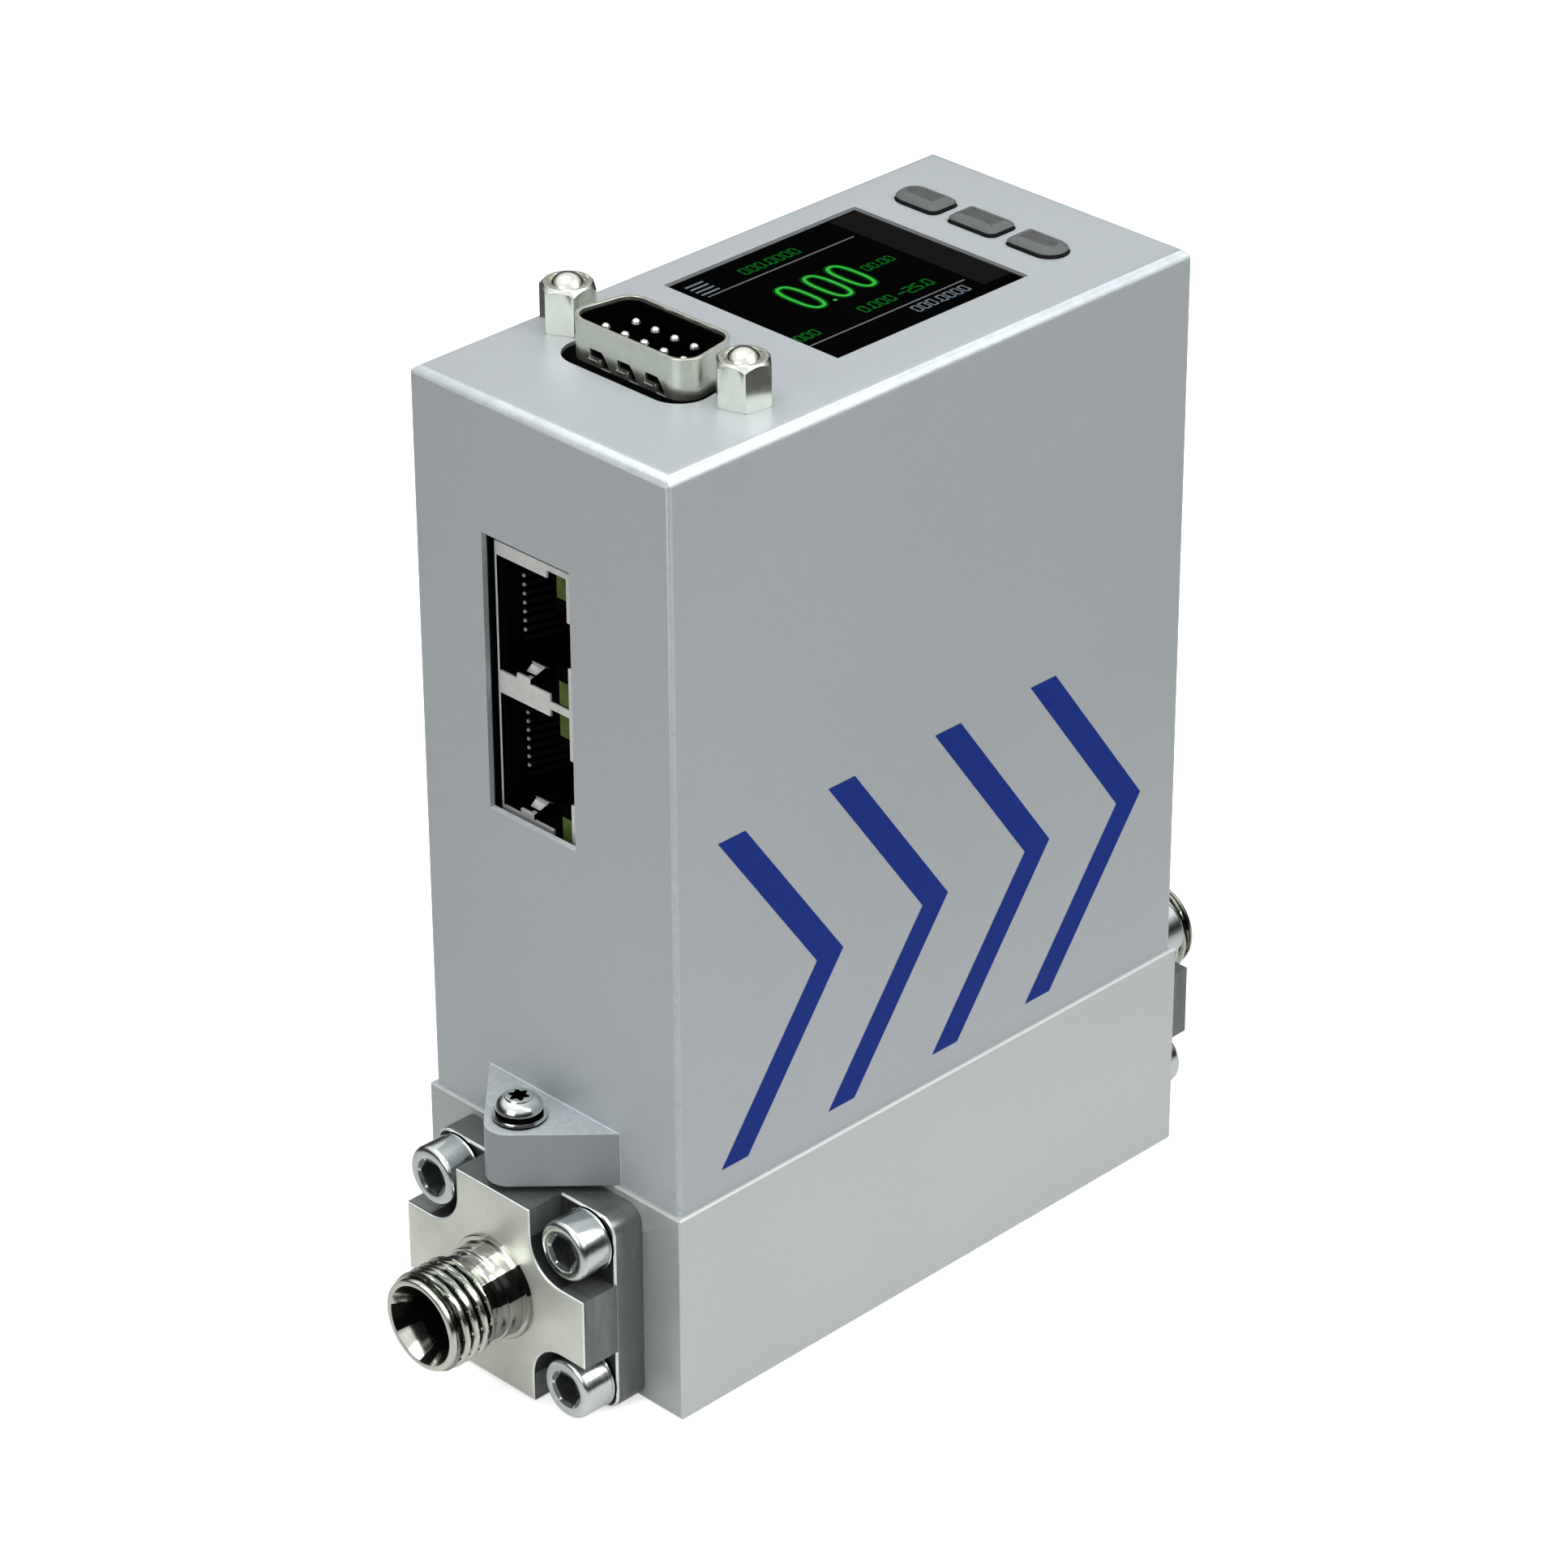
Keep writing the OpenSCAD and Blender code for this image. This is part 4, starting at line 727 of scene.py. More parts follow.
PIXEL_HALO = even("lit_green_halo", 0.022, (0.05, 1.0, 0.12), 0.3, scale=1500.0, glow=0.9, **SCREEN)
PIXEL_DIM = even("lit_green_dim", 0.055, (0.05, 1.0, 0.10), 0.25, scale=1400.0, glow=0.8, **SCREEN)
PIXEL_WHITE = even("lit_white", 0.12, (0.78, 0.97, 1.15), 0.15, scale=1400.0, glow=0.7, **SCREEN)
PIXEL_GREY = even("lit_grey", 0.10, (0.95, 1.0, 1.0), 0.1, scale=3000.0, glow=0.6, **SCREEN)

# Finish of the nodes of each material slot.
NODE_FINISH = {
    "base_steel": BLOCK_STEEL, "cover_metal": COVER_PAINT, "turned_steel": TURNED_STEEL,
    "seal_metal": PLAIN_METAL, "screw_steel": BRIGHT_STEEL, "plated_steel": PLATED_STEEL,
    # The contacts get painted shade.
    "black_plastic": BLACK_PLASTIC, "contact_metal": SHADED_CONTACT, "black_rubber": BLACK_RUBBER,
    "light_pipe": LAMP_GREEN, "window_glass": WINDOW_BLACK, "module_metal": PLAIN_METAL,
    # The circuit boards get painted shade.
    "circuit_board": SHADED_CIRCUIT_GREEN, "key_plastic": KEY_TOP, "pale_plastic": PALE_PLASTIC,
    "sintered_metal": SINTERED, "sensor_metal": PLAIN_METAL, "copper_wire": COPPER,
}


# ---- Objects ----


SLOTS = {entry["node"]: entry["material_slot"] for entry in frame["record"]["subparts"]}
Rule = Callable[[np.ndarray, np.ndarray], np.ndarray]


def read_points(mesh: bpy.types.Mesh) -> np.ndarray:
    """Points of a mesh.

    Args:
        mesh: The mesh.

    Returns:
        One row of x, y, z in metres for each point.
    """
    points = np.empty(3 * len(mesh.vertices), np.float32)
    mesh.vertices.foreach_get("co", points)
    return points.reshape(-1, 3)


def span(node: str) -> np.ndarray:
    """Box of a node, to the micron.

    Args:
        node: Name of the node.

    Returns:
        Its least x, y, z and its greatest x, y, z in millimetres, one in each row.
    """
    points = read_points(frame["nodes"][node].data)
    return np.round(np.array([points.min(0), points.max(0)], float) / MM, 3)


def add_piece(name: str, shell: Shell, finish: Finish, replaces: str = "",
              body: str = "housing") -> bpy.types.Object:
    """Makes a visible piece of a shell, and seats it on its body.

    Args:
        name: Name of the piece.
        shell: Its shell in millimetres.
        finish: Its finish.
        replaces: Node that it stands for, if any.
        body: Body that it rides on.

    Returns:
        The new object.
    """
    mesh = bpy.data.meshes.new(name)
    faces = [row for block in shell.faces for row in block.tolist()]
    mesh.from_pydata((shell.points * MM).tolist(), [], faces)
    return finish_piece(mesh, finish, replaces, body)


def finish_piece(mesh: bpy.types.Mesh, finish: Finish, replaces: str,
                 body: str) -> bpy.types.Object:
    """Smooths a mesh up to its sharp edges, dresses it and seats it on its body.

    Args:
        mesh: The mesh, named as the piece.
        finish: Its finish.
        replaces: Node that it stands for, if any.
        body: Body that it rides on.

    Returns:
        The new object.
    """
    mesh.polygons.foreach_set("use_smooth", np.ones(len(mesh.polygons), bool))
    mesh.set_sharp_from_angle(angle=SHARP_ANGLE)
    mesh.materials.append(finish.material())
    piece = bpy.data.objects.new(mesh.name, mesh)
    bpy.context.scene.collection.objects.link(piece)
    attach(piece, body)
    if replaces:
        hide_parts(replaces)
    LOG.info("%s: %d faces on %s", mesh.name, len(mesh.polygons), body)
    return piece


def softened(node: str, finish: Finish, bevel: float, edge: Finish | None = None) -> bpy.types.Object:
    """Copies a node, merges its points, clears its flat faces of inner edges and bevels its edges.

    Args:
        node: Name of the node, which the copy replaces.
        finish: Finish of the copy.
        bevel: Width in millimetres of the bevel.
        edge: Finish of the bevel, or None for that of the copy.

    Returns:
        The new object.
    """
    work = bmesh.new()
    work.from_mesh(frame["nodes"][node].data)
    bmesh.ops.remove_doubles(work, verts=work.verts, dist=MERGE_GAP * MM)
    bmesh.ops.dissolve_limit(work, angle_limit=FLAT_ANGLE, verts=work.verts, edges=work.edges)
    mesh = bpy.data.meshes.new(node + "_fine")
    work.to_mesh(mesh)
    work.free()
    piece = finish_piece(mesh, finish, node, "housing")
    live = piece.modifiers.new("edge", "BEVEL")
    live.width = bevel * MM
    live.segments = 2
    live.limit_method = "ANGLE"
    live.angle_limit = SHARP_ANGLE
    live.harden_normals = True
    live.use_clamp_overlap = True
    if edge:
        mesh.materials.append(edge.material())
        live.material = 1
    return piece


def recoat(piece: bpy.types.Object, finish: Finish, rule: Rule) -> None:
    """Gives another finish to some faces of a piece.

    Args:
        piece: The piece.
        finish: The other finish.
        rule: Picks faces from their middles c in millimetres and their normals n.
    """
    mesh = piece.data
    values = {key: np.empty(3 * len(mesh.polygons), np.float32) for key in ("center", "normal")}
    for key, value in values.items():
        mesh.polygons.foreach_get(key, value)
    middles, normals = (value.reshape(-1, 3) for value in values.values())
    index = np.empty(len(mesh.polygons), np.int32)
    mesh.polygons.foreach_get("material_index", index)
    index[rule(middles / MM, normals)] = len(mesh.materials)
    mesh.materials.append(finish.material())
    mesh.polygons.foreach_set("material_index", index)


def within(values: np.ndarray, low: float, high: float) -> np.ndarray:
    """Whether values lie between two limits.

    Args:
        values: The values.
        low: Lower limit.
        high: Upper limit.

    Returns:
        True for those between the two.
    """
    return (values > low) & (values < high)


# ---- The controller ----


BLOCK_END_X = span("base_block")[1, 0]
COVER_LOW, COVER_TOP = span("cover")[:, 2]
EAR_TOP_Z = span("cover_washers")[0, 2]
# Where the x, y and z axes of a part that is made upright point once it stands on an end of the block.
ALONG_FLOW = {-1: ((0, 0, 1), (0, 1, 0), (-1, 0, 0)), 1: ((0, 0, -1), (0, 1, 0), (1, 0, 0))}


@dataclass
class FlowBlock:
    """The machined block that the gas runs through.

    Attributes:
        edge: Bevel of its edges.
        foot: Height of the chamfer round its underside.
    """

    edge: float = 0.16
    foot: float = 1.0

    def build(self) -> None:
        """Copies the block with softened edges that get a painted highlight, and painted shade on its ends
        and underside chamfer.
        """
        # The bevels get a painted highlight.
        block = softened("base_block", BLOCK_STEEL, self.edge, STEEL_EDGE_HIGHLIGHT)
        # Painted shade on the ends and on the downward faces of the underside chamfer.
        recoat(block, BLOCK_END_SHADE, lambda c, n: np.abs(n[:, 0]) > FACING)
        recoat(block, BLOCK_END_SHADE, lambda c, n: (n[:, 2] < -STANDING) & (c[:, 2] < self.foot))


@dataclass
class Cover:
    """The tall cover with its printed chevrons.

    Attributes:
        edge: Bevel of its edges.
        face_y: Place of the printed face.
        lefts: Left end of each chevron.
        low: Height of the chevrons' lower ends.
        apex: Height of their points.
        high: Height of their upper ends.
        stroke: Width of a stroke, measured along the flow.
        reach: Distance from the left end to the point.
        ink: Height of the print above the face.
        wall_x: Distance of an end wall from the middle.
        rim_x: Distance from the middle past which slanting faces are outer edges, along the flow.
        rim_y: The same across the flow.
        lip_x: Distance from the middle of the lip round the sockets' opening.
        opening_y: Sides of the opening.
        opening_z: Lower and upper lip of the opening.
        ear_w: Width of an ear where it meets the end wall.
        ear_h: Height of the ears' zone above the cover's lower edge.
        line_w: Width of the painted highlight line on an ear.
        shade_h: How far the shade behind the lip reaches below the opening.
        shade_d: Depth of that shade on either side of the lip.
    """

    edge: float = 0.18
    face_y: float = span("cover")[0, 1]
    lefts: tuple[float, ...] = (-31.6, -16.0, -0.4, 14.0)
    low: float = 27.85
    apex: float = 46.95
    high: float = 66.45
    stroke: float = 3.85
    reach: float = 17.8
    ink: float = 0.02
    wall_x: float = BLOCK_END_X - 0.5
    rim_x: float = 35.5
    rim_y: float = 17.0
    lip_x: float = 36.5
    opening_y: tuple[float, float] = (-5.1, 9.4)
    opening_z: tuple[float, float] = (62.3, 94.6)
    ear_w: float = 19.7
    ear_h: float = 12.0
    line_w: float = 0.26
    shade_h: float = 0.9
    shade_d: float = 0.5

    def ear_line(self, side: int) -> Shell:
        """Painted highlight line where an ear's upper face meets the end wall.

        Args:
            side: -1 at the inlet, 1 at the outlet.

        Returns:
            The line, just above the ear.
        """
        x, reach = side * (self.wall_x + 0.14), self.ear_w / 2 - 0.3
        return ribbon(np.array([(x, -reach), (x, reach)]), self.line_w, EAR_TOP_Z + 0.03)

    def chevron(self, left: float) -> Shell:
        """One chevron, cut level at its ends: two parallelograms that meet at the point.

        Args:
            left: Left end of its stroke.

        Returns:
            The flat shape on the printed face.
        """
        inner = self.reach - self.stroke
        outline = np.array([(left, self.low), (left + self.stroke, self.low), (left + self.reach, self.apex),
                            (left + self.stroke, self.high), (left, self.high), (left + inner, self.apex)])
        flat = Shell(np.column_stack([outline, np.full(len(outline), self.ink)]),
                     [np.array([[0, 1, 2, 5]]), np.array([[5, 2, 3, 4]])])
        return flat.moved(((1, 0, 0), (0, 0, 1), (0, -1, 0)), (0, self.face_y, 0))

    def on_ear(self, middles: np.ndarray) -> np.ndarray:
        """Whether faces lie outside the end walls, from their middles."""
        return np.abs(middles[:, 0]) > self.wall_x + 0.2

    def outer_edge(self, middles: np.ndarray, normals: np.ndarray) -> np.ndarray:
        """Whether slanting faces round the cover's outer edges, above its lowest part.

        Args:
            middles: Middles of the faces.
            normals: Their normals, which slant outwards and not down.

        Returns:
            True for those that do.
        """
        outwards = (middles[:, :2] * normals[:, :2] >= -0.01).all(1) & (normals[:, 2] > -0.1)
        beyond = (np.abs(middles[:, 0]) > self.rim_x) | (np.abs(middles[:, 1]) > self.rim_y)
        return (np.abs(normals).max(1) < 0.93) & outwards & beyond & (middles[:, 2] > COVER_LOW + 8)

    def upright_corner(self, middles: np.ndarray, normals: np.ndarray) -> np.ndarray:
        """Whether faces round one of the four upright corners.

        Args:
            middles: Middles of the faces.
            normals: Their normals.

        Returns:
            True for those that do.
        """
        slants = (np.abs(normals[:, :2]) > 0.2).all(1) & (np.abs(normals[:, 2]) < STANDING)
        return slants & ~self.on_ear(middles) & (np.abs(middles[:, 1]) > self.rim_y)

    def behind_lip(self, middles: np.ndarray, normals: np.ndarray) -> np.ndarray:
        """Whether faces lie in the shade behind the lip of the sockets' opening.

        Args:
            middles: Middles of the faces.
            normals: Their normals.

        Returns:
            True for those that do.
        """
        depth = np.abs(middles[:, 0] + self.lip_x)
        low, high = self.opening_z
        framed = within(middles[:, 1], *self.opening_y) & within(middles[:, 2], low - self.shade_h, high)
        return (depth < self.shade_d) & framed & ((normals[:, 0] > 0.5) | (depth < 0.9 * self.shade_d))

    def build(self) -> None:
        """Makes the cover with painted highlights on its edges, lip and ear lines, painted light and shade
        on its ears, painted shade behind the lip, and its print.
        """
        # The bevels and the outer rounded edges get a painted highlight.
        cover = softened("cover", COVER_PAINT, self.edge, COVER_EDGE_HIGHLIGHT)
        recoat(cover, COVER_EDGE_HIGHLIGHT, self.outer_edge)
        # Painted highlight on the upright corners.
        recoat(cover, COVER_CORNER_HIGHLIGHT, self.upright_corner)
        # Painted light on the ears' upper faces, and painted shade on their sides.
        recoat(cover, EAR_TOP_LIGHT, lambda c, n: self.on_ear(c) & (n[:, 2] > FACING)
               & (c[:, 2] < COVER_LOW + self.ear_h))
        recoat(cover, EAR_SIDE, lambda c, n: self.on_ear(c) & (np.abs(n[:, 2]) < STANDING))
        # Painted highlight on the opening's lower lip.
        recoat(cover, COVER_LINE_HIGHLIGHT, lambda c, n: (c[:, 0] < -self.lip_x) & (n[:, 2] > FACING)
               & (np.abs(c[:, 2] - self.opening_z[0]) < 0.1))
        recoat(cover, SHADOW_BLACK, self.behind_lip)
        add_piece("chevrons", joined([self.chevron(x) for x in self.lefts]), PRINT_BLUE)
        # Thin strips of painted highlight where the ears meet the end walls.
        lines = [self.ear_line(side) for side in (-1, 1)]
        add_piece("ear_lines", joined(lines), COVER_LINE_HIGHLIGHT)


@dataclass
class EndFitting:
    """A flange with its cross-shaped block, its turned stub and its four screws.

    Radii are measured from the flow axis, and heights from the end of the flow block.

    Attributes:
        name: Name of the end.
        side: -1 at the inlet, 1 at the outlet.
        plate_t: Thickness of the flange's back plate.
        block_t: Thickness of its raised block.
        plate_r: Radius of the plate's corners.
        relief_r: Radius of the relief round a screw.
        collar_r: Radius of the stub's foot.
        shank_r: Radius of the step on the foot.
        neck_r: Radius of the plain neck.
        groove_r: Radius of the groove behind the thread.
        thread_r: Radius of the thread's crest.
        thread_d: Depth of the thread.
        thread_l: Length of the thread.
        pitch: Pitch of the thread.
        rim_r: Radius of the plain rim at the mouth.
        cone_r: Radius of the cone's wide end.
        bore_r: Radius of its narrow end.
        tube_r: Radius of the bore behind it.
        washer_r: Radius of the node's washers.
        washer_t: Thickness of a washer.
        head_r: Radius of a screw's head.
        head_h: Height of a screw's head.
        flats: Size of its socket across the flats.
        socket_d: Depth of its socket.
        socket_r: Radius within which a head's faces get the painted shade of its socket.
        streaks: Finish of the painted reflection on the stub between two turns about its axis.
        cone_streaks: The same for the cone in its mouth.
        port_z: Height of the flow axis above the floor.
        width: Width of the flange.
        height: Height of the flange.
        end_h: Height of the stub's end.
        screw_y: Distance of a screw from the axis, across the flow.
        screw_z: Distance of a screw from the axis, upwards.
    """

    name: str
    side: int
    plate_t: float = 4.0
    block_t: float = 4.6
    plate_r: float = 2.0
    relief_r: float = 4.4
    collar_r: float = 5.9
    shank_r: float = 5.25
    neck_r: float = 4.95
    groove_r: float = 4.6
    thread_r: float = 5.55
    thread_d: float = 0.72
    thread_l: float = 5.45
    pitch: float = 1.27
    rim_r: float = 5.2
    cone_r: float = 4.5
    bore_r: float = 3.2
    tube_r: float = 2.3
    washer_r: float = 3.6
    washer_t: float = 0.5
    head_r: float = 3.4
    head_h: float = 3.6
    flats: float = 3.3
    socket_d: float = 2.4
    socket_r: float = 2.0
    streaks: tuple[tuple[Finish, float, float], ...] = (
        (TURNED_DARK_REFLECTION_AND_SHADE, 15, 47), (TURNED_MID_REFLECTION, -75, 15), (TURNED_MID_REFLECTION, 74, 98))
    cone_streaks: tuple[tuple[Finish, float, float], ...] = (
        (TURNED_DARK_REFLECTION_AND_SHADE, -60, 112), (TURNED_MID_REFLECTION, 112, 150), (TURNED_DARK_REFLECTION_AND_SHADE, 172, 214),
        (TURNED_DARK_REFLECTION_AND_SHADE, 268, 286), (TURNED_MID_REFLECTION, 286, 300))
    port_z: float = field(init=False)
    width: float = field(init=False)
    height: float = field(init=False)
    end_h: float = field(init=False)
    screw_y: float = field(init=False)
    screw_z: float = field(init=False)

    def __post_init__(self) -> None:
        """Reads the flange's size, the stub's end and the screws' places from the nodes."""
        fitting, washers = span(self.name + "_fitting"), span(self.name + "_washers")
        self.port_z = fitting[:, 2].mean()
        _, self.width, self.height = fitting[1] - fitting[0]
        self.end_h = np.abs(fitting[:, 0]).max() - BLOCK_END_X
        self.screw_y, self.screw_z = (washers[1] - washers[0])[1:] / 2 - self.washer_r

    def placed(self, shell: Shell) -> Shell:
        """Turns a shell that stands on z = 0 so that it points out of this end.

        Args:
            shell: The shell, with x along the height.

        Returns:
            The shell in place.
        """
        return shell.moved(ALONG_FLOW[self.side], (self.side * BLOCK_END_X, 0, self.port_z))

    def height_of(self, points: np.ndarray) -> np.ndarray:
        """Heights of points of the part above the flow block's end."""
        return np.abs(points[:, 0]) - BLOCK_END_X

    def radius_of(self, points: np.ndarray) -> np.ndarray:
        """Distances of points of the part from the flow axis."""
        return np.hypot(points[:, 1], points[:, 2] - self.port_z)

    def turn_between(self, points: np.ndarray, first: float, last: float) -> np.ndarray:
        """Whether points lie between two turns about the flow axis, from -Y upwards in degrees.

        Args:
            points: The points.
            first: First turn.
            last: Last turn, less than 360 past the first.

        Returns:
            True for those between the two.
        """
        turn = np.degrees(np.arctan2(points[:, 2] - self.port_z, -points[:, 1]))
        return (turn - first) % 360 < last - first

    def in_socket(self, points: np.ndarray) -> np.ndarray:
        """Whether points lie within a screw's socket, below its chamfer.

        Args:
            points: The points.

        Returns:
            True for those within a socket.
        """
        across = np.abs(points[:, 1]) - self.screw_y
        up = np.abs(points[:, 2] - self.port_z) - self.screw_z
        top = self.plate_t + self.washer_t + self.head_h
        return (np.hypot(across, up) < self.socket_r) & (self.height_of(points) < top - 0.1)

    def cross_outline(self) -> np.ndarray:
        """Outline of the raised block: straight arms, joined by arcs round the screws.

        One quarter runs from the corner of an arm round the relief to the next arm, and its
        mirror images make the rest.

        Returns:
            The anticlockwise outline.
        """
        h, w, r = self.height / 2, self.width / 2, self.relief_r
        u, v = self.screw_z, self.screw_y
        quarter = np.vstack([[(h, v - r)], arc((u, v), r, 270, 180, 12), [(u - r, w)]])
        back = quarter[::-1]
        return np.vstack([quarter, back * (-1, 1), quarter * (-1, -1), back * (1, -1)])

    def build(self) -> None:
        """Makes the fitting, its washers and its screws."""
        self.build_flange()
        self.build_stub()
        self.build_screws()

    def build_flange(self) -> None:
        """Makes the plate and the block: pale faces, sides with painted dark reflection, and rims with
        painted highlight between them.
        """
        corners = [(sx * self.height / 2, sy * self.width / 2, self.plate_r)
                   for sx, sy in ((-1, -1), (1, -1), (1, 1), (-1, 1))]
        face, skin, straight = self.plate_t + self.block_t, 0.1, 0.999
        back = plate(rounded_outline(corners, 8), 0.0, self.plate_t, round_low=0.1, round_high=0.4)
        front = plate(self.cross_outline(), self.plate_t - 0.2, face, round_low=0.0, round_high=0.3)
        # The flange starts all in painted highlight, which stays on its rounded rims.
        flange = add_piece(self.name + "_flange", self.placed(joined([back, front])), STEEL_EDGE_HIGHLIGHT,
                           self.name + "_fitting")
        # Painted dark reflection on the sides.
        recoat(flange, FLANGE_SIDE_REFLECTION, lambda c, n: np.abs(n[:, 0]) < STANDING)
        recoat(flange, FACE_STEEL, lambda c, n: (np.abs(n[:, 0]) > SQUARE)
               & (self.height_of(c) > face - skin))
        recoat(flange, RELIEF_DARK, lambda c, n: (np.abs(n[:, 0]) > SQUARE)
               & (self.height_of(c) < face - skin))
        recoat(flange, RELIEF_DARK, lambda c, n: (np.abs(n[:, 0]) < STANDING)
               & (np.abs(n).max(1) < straight) & (self.height_of(c) > self.plate_t + skin / 2))

    def build_stub(self) -> None:
        """Makes the turned stub: collar, shank, neck, groove, thread, rim, cone and bore.

        The thread is a tube of its own between the two turned lengths, with its ends on theirs.
        """
        axis, end, root = 0.02, self.end_h, self.thread_r - self.thread_d
        foot = self.plate_t + self.block_t
        stop = end - 0.55
        start = stop - self.thread_l
        collar, shank, neck, groove = self.collar_r, self.shank_r, self.neck_r, self.groove_r
        lower = lathe([(axis, foot - 0.2), (collar, foot - 0.2), (collar, foot + 0.45),
                       (collar - 0.1, foot + 0.55), (shank + 0.1, foot + 0.6), (shank, foot + 0.7),
                       (shank, foot + 2.5), (shank - 0.05, foot + 2.58), (neck + 0.05, foot + 2.6),
                       (neck, foot + 2.68), (neck, start - 0.9), (groove, start - 0.6),
                       (groove, start - 0.1), (root, start)], 96)
        rim, cone, bore, tube = self.rim_r, self.cone_r, self.bore_r, self.tube_r
        upper = lathe([(root, stop), (rim, stop + 0.05), (rim, end - 0.3), (rim - 0.1, end - 0.08),
                       (rim - 0.25, end), (cone + 0.15, end), (cone, end - 0.07), (bore, end - 2.6),
                       (bore, end - 7.6), (tube, end - 7.75), (tube, end - 12.0), (axis, end - 12.0)], 96)
        lower.faces, upper.faces = lower.faces[:1], upper.faces[:1]
        thread = threaded_tube(root, self.thread_r, start, stop, self.pitch)
        stub = add_piece(self.name + "_stub", self.placed(joined([lower, thread, upper])), TURNED_STEEL,
                         self.name + "_fitting")
        # Painted reflection in bands round the neck and thread.
        for finish, first, last in self.streaks:
            recoat(stub, finish, lambda c, n: (self.radius_of(c) > groove - 0.3) & (np.abs(n[:, 0]) < FACING)
                   & self.turn_between(c, first, last) & (self.height_of(c) < stop)
                   & ((self.radius_of(c) < self.thread_r - 0.1) | (self.height_of(c) < start)))
        # Painted reflection in bands round the cone in the mouth.
        for finish, first, last in self.cone_streaks:
            recoat(stub, finish, lambda c, n: (self.radius_of(c) < cone) & (self.height_of(c) > stop - 3)
                   & self.turn_between(c, first, last))
        # Painted shade in the thread's grooves.
        recoat(stub, THREAD_GROOVE_SHADE, lambda c, n: within(self.height_of(c), start, stop)
               & within(self.radius_of(c), groove, root + 0.42 * self.thread_d))
        # Painted shade in the bore.
        recoat(stub, TURNED_DARK_REFLECTION_AND_SHADE, lambda c, n: self.radius_of(c) < bore + 0.05)

    def build_screws(self) -> None:
        """Makes the four cap screws with painted shade in their sockets, and their washers with painted
        shadow on their edges.
        """
        places = [(sz * self.screw_z, sy * self.screw_y) for sz in (-1, 1) for sy in (-1, 1)]
        hole, outer, top = 2.2, self.washer_r - 0.1, self.washer_t
        washer = lathe([(hole, 0), (outer - 0.1, 0), (outer, 0.1), (outer, top - 0.1), (outer - 0.1, top),
                        (hole, top)], 64, closed=True)
        head = socket_head(self.head_r, self.head_h, self.flats, self.socket_d, 0.6)
        for kind, shell, lift in (("washers", washer, 0.0), ("screws", head, self.washer_t)):
            parts = [shell.shifted(u, v, self.plate_t + lift) for u, v in places]
            node = f"{self.name}_{kind}"
            piece = add_piece(node + "_fine", self.placed(joined(parts)), BRIGHT_STEEL, node)
            if kind == "screws":
                # Painted shade in the sockets.
                recoat(piece, SOCKET_SHADE, lambda c, n: self.in_socket(c))
            else:
                recoat(piece, SHADOW_BLACK, lambda c, n: np.abs(n[:, 0]) < STANDING)


@dataclass
class EarScrews:
    """The pan-head screws and washers on the cover's two ears.

    Attributes:
        washer_r: Radius of a washer.
        washer_t: Thickness of a washer.
        hole_r: Radius of a washer's hole.
        recess_r: Mean radius of the lobed recess.
        lobe: How far its six lobes reach in and out.
        shade_r: Radius within which a head's faces are those of its dark recess.
        around: Number of points round a head.
        washer_shade: Height up to which the edge of a washer is dark.
        head_shade: The same for a head.
        recess_z: Height of a head's faces below which its recess is dark.
    """

    washer_r: float = 2.9
    washer_t: float = 0.6
    hole_r: float = 1.65
    recess_r: float = 0.92
    lobe: float = 0.2
    shade_r: float = 1.1
    around: int = 80
    washer_shade: float = 0.25
    head_shade: float = 0.65
    recess_z: float = 1.95

    def head(self) -> Shell:
        """Low head with a recess, whose radius is recess_r + lobe cos(6 times the angle).

        Returns:
            The head, standing on z = 0.
        """
        turn = np.arange(self.around) * 2 * np.pi / self.around
        recess = self.recess_r + self.lobe * np.cos(6 * turn)
        dome = [(2.35, 0.0), (2.5, 0.12), (2.5, 0.6), (2.45, 0.85), (2.3, 1.2), (2.05, 1.5),
                (1.75, 1.7), (1.5, 1.78), (1.42, 1.95), (1.3, 2.0)]
        floor = [(1.05, 1.98), (1.0, 1.85), (0.95, 0.75), (0.3, 0.6)]
        radii = [np.full(self.around, r) for r, _ in dome] + [recess * share for share, _ in floor]
        return loft(turned_rings(radii, [z for _, z in dome + floor]))

    def build(self) -> None:
        """Makes the two screws, with a washer each, all dark where they are shaded."""
        r, t, hole = self.washer_r, self.washer_t, self.hole_r
        washer = lathe([(hole, 0), (r - 0.15, 0), (r, 0.1), (r, 0.3), (r - 0.15, t), (hole, t)], 64,
                       closed=True)
        x = span("cover_washers")[1, 0] - r
        for kind, shell, lift, shade_h in (("washers", washer, 0.0, self.washer_shade),
                                           ("screws", self.head(), t, self.head_shade)):
            foot = EAR_TOP_Z + lift
            parts = [shell.shifted(side * x, 0, foot) for side in (-1, 1)]
            piece = add_piece(f"cover_{kind}_fine", joined(parts), BRIGHT_STEEL,
                              f"cover_{kind}")
            recoat(piece, SHADOW_BLACK, lambda c, n: (c[:, 2] < foot + shade_h) & (np.abs(n[:, 2]) < 0.8))
            if kind == "screws":
                recoat(piece, SHADOW_BLACK, lambda c, n: (c[:, 2] < foot + self.recess_z)
                       & (np.hypot(np.abs(c[:, 0]) - x, c[:, 1]) < self.shade_r))


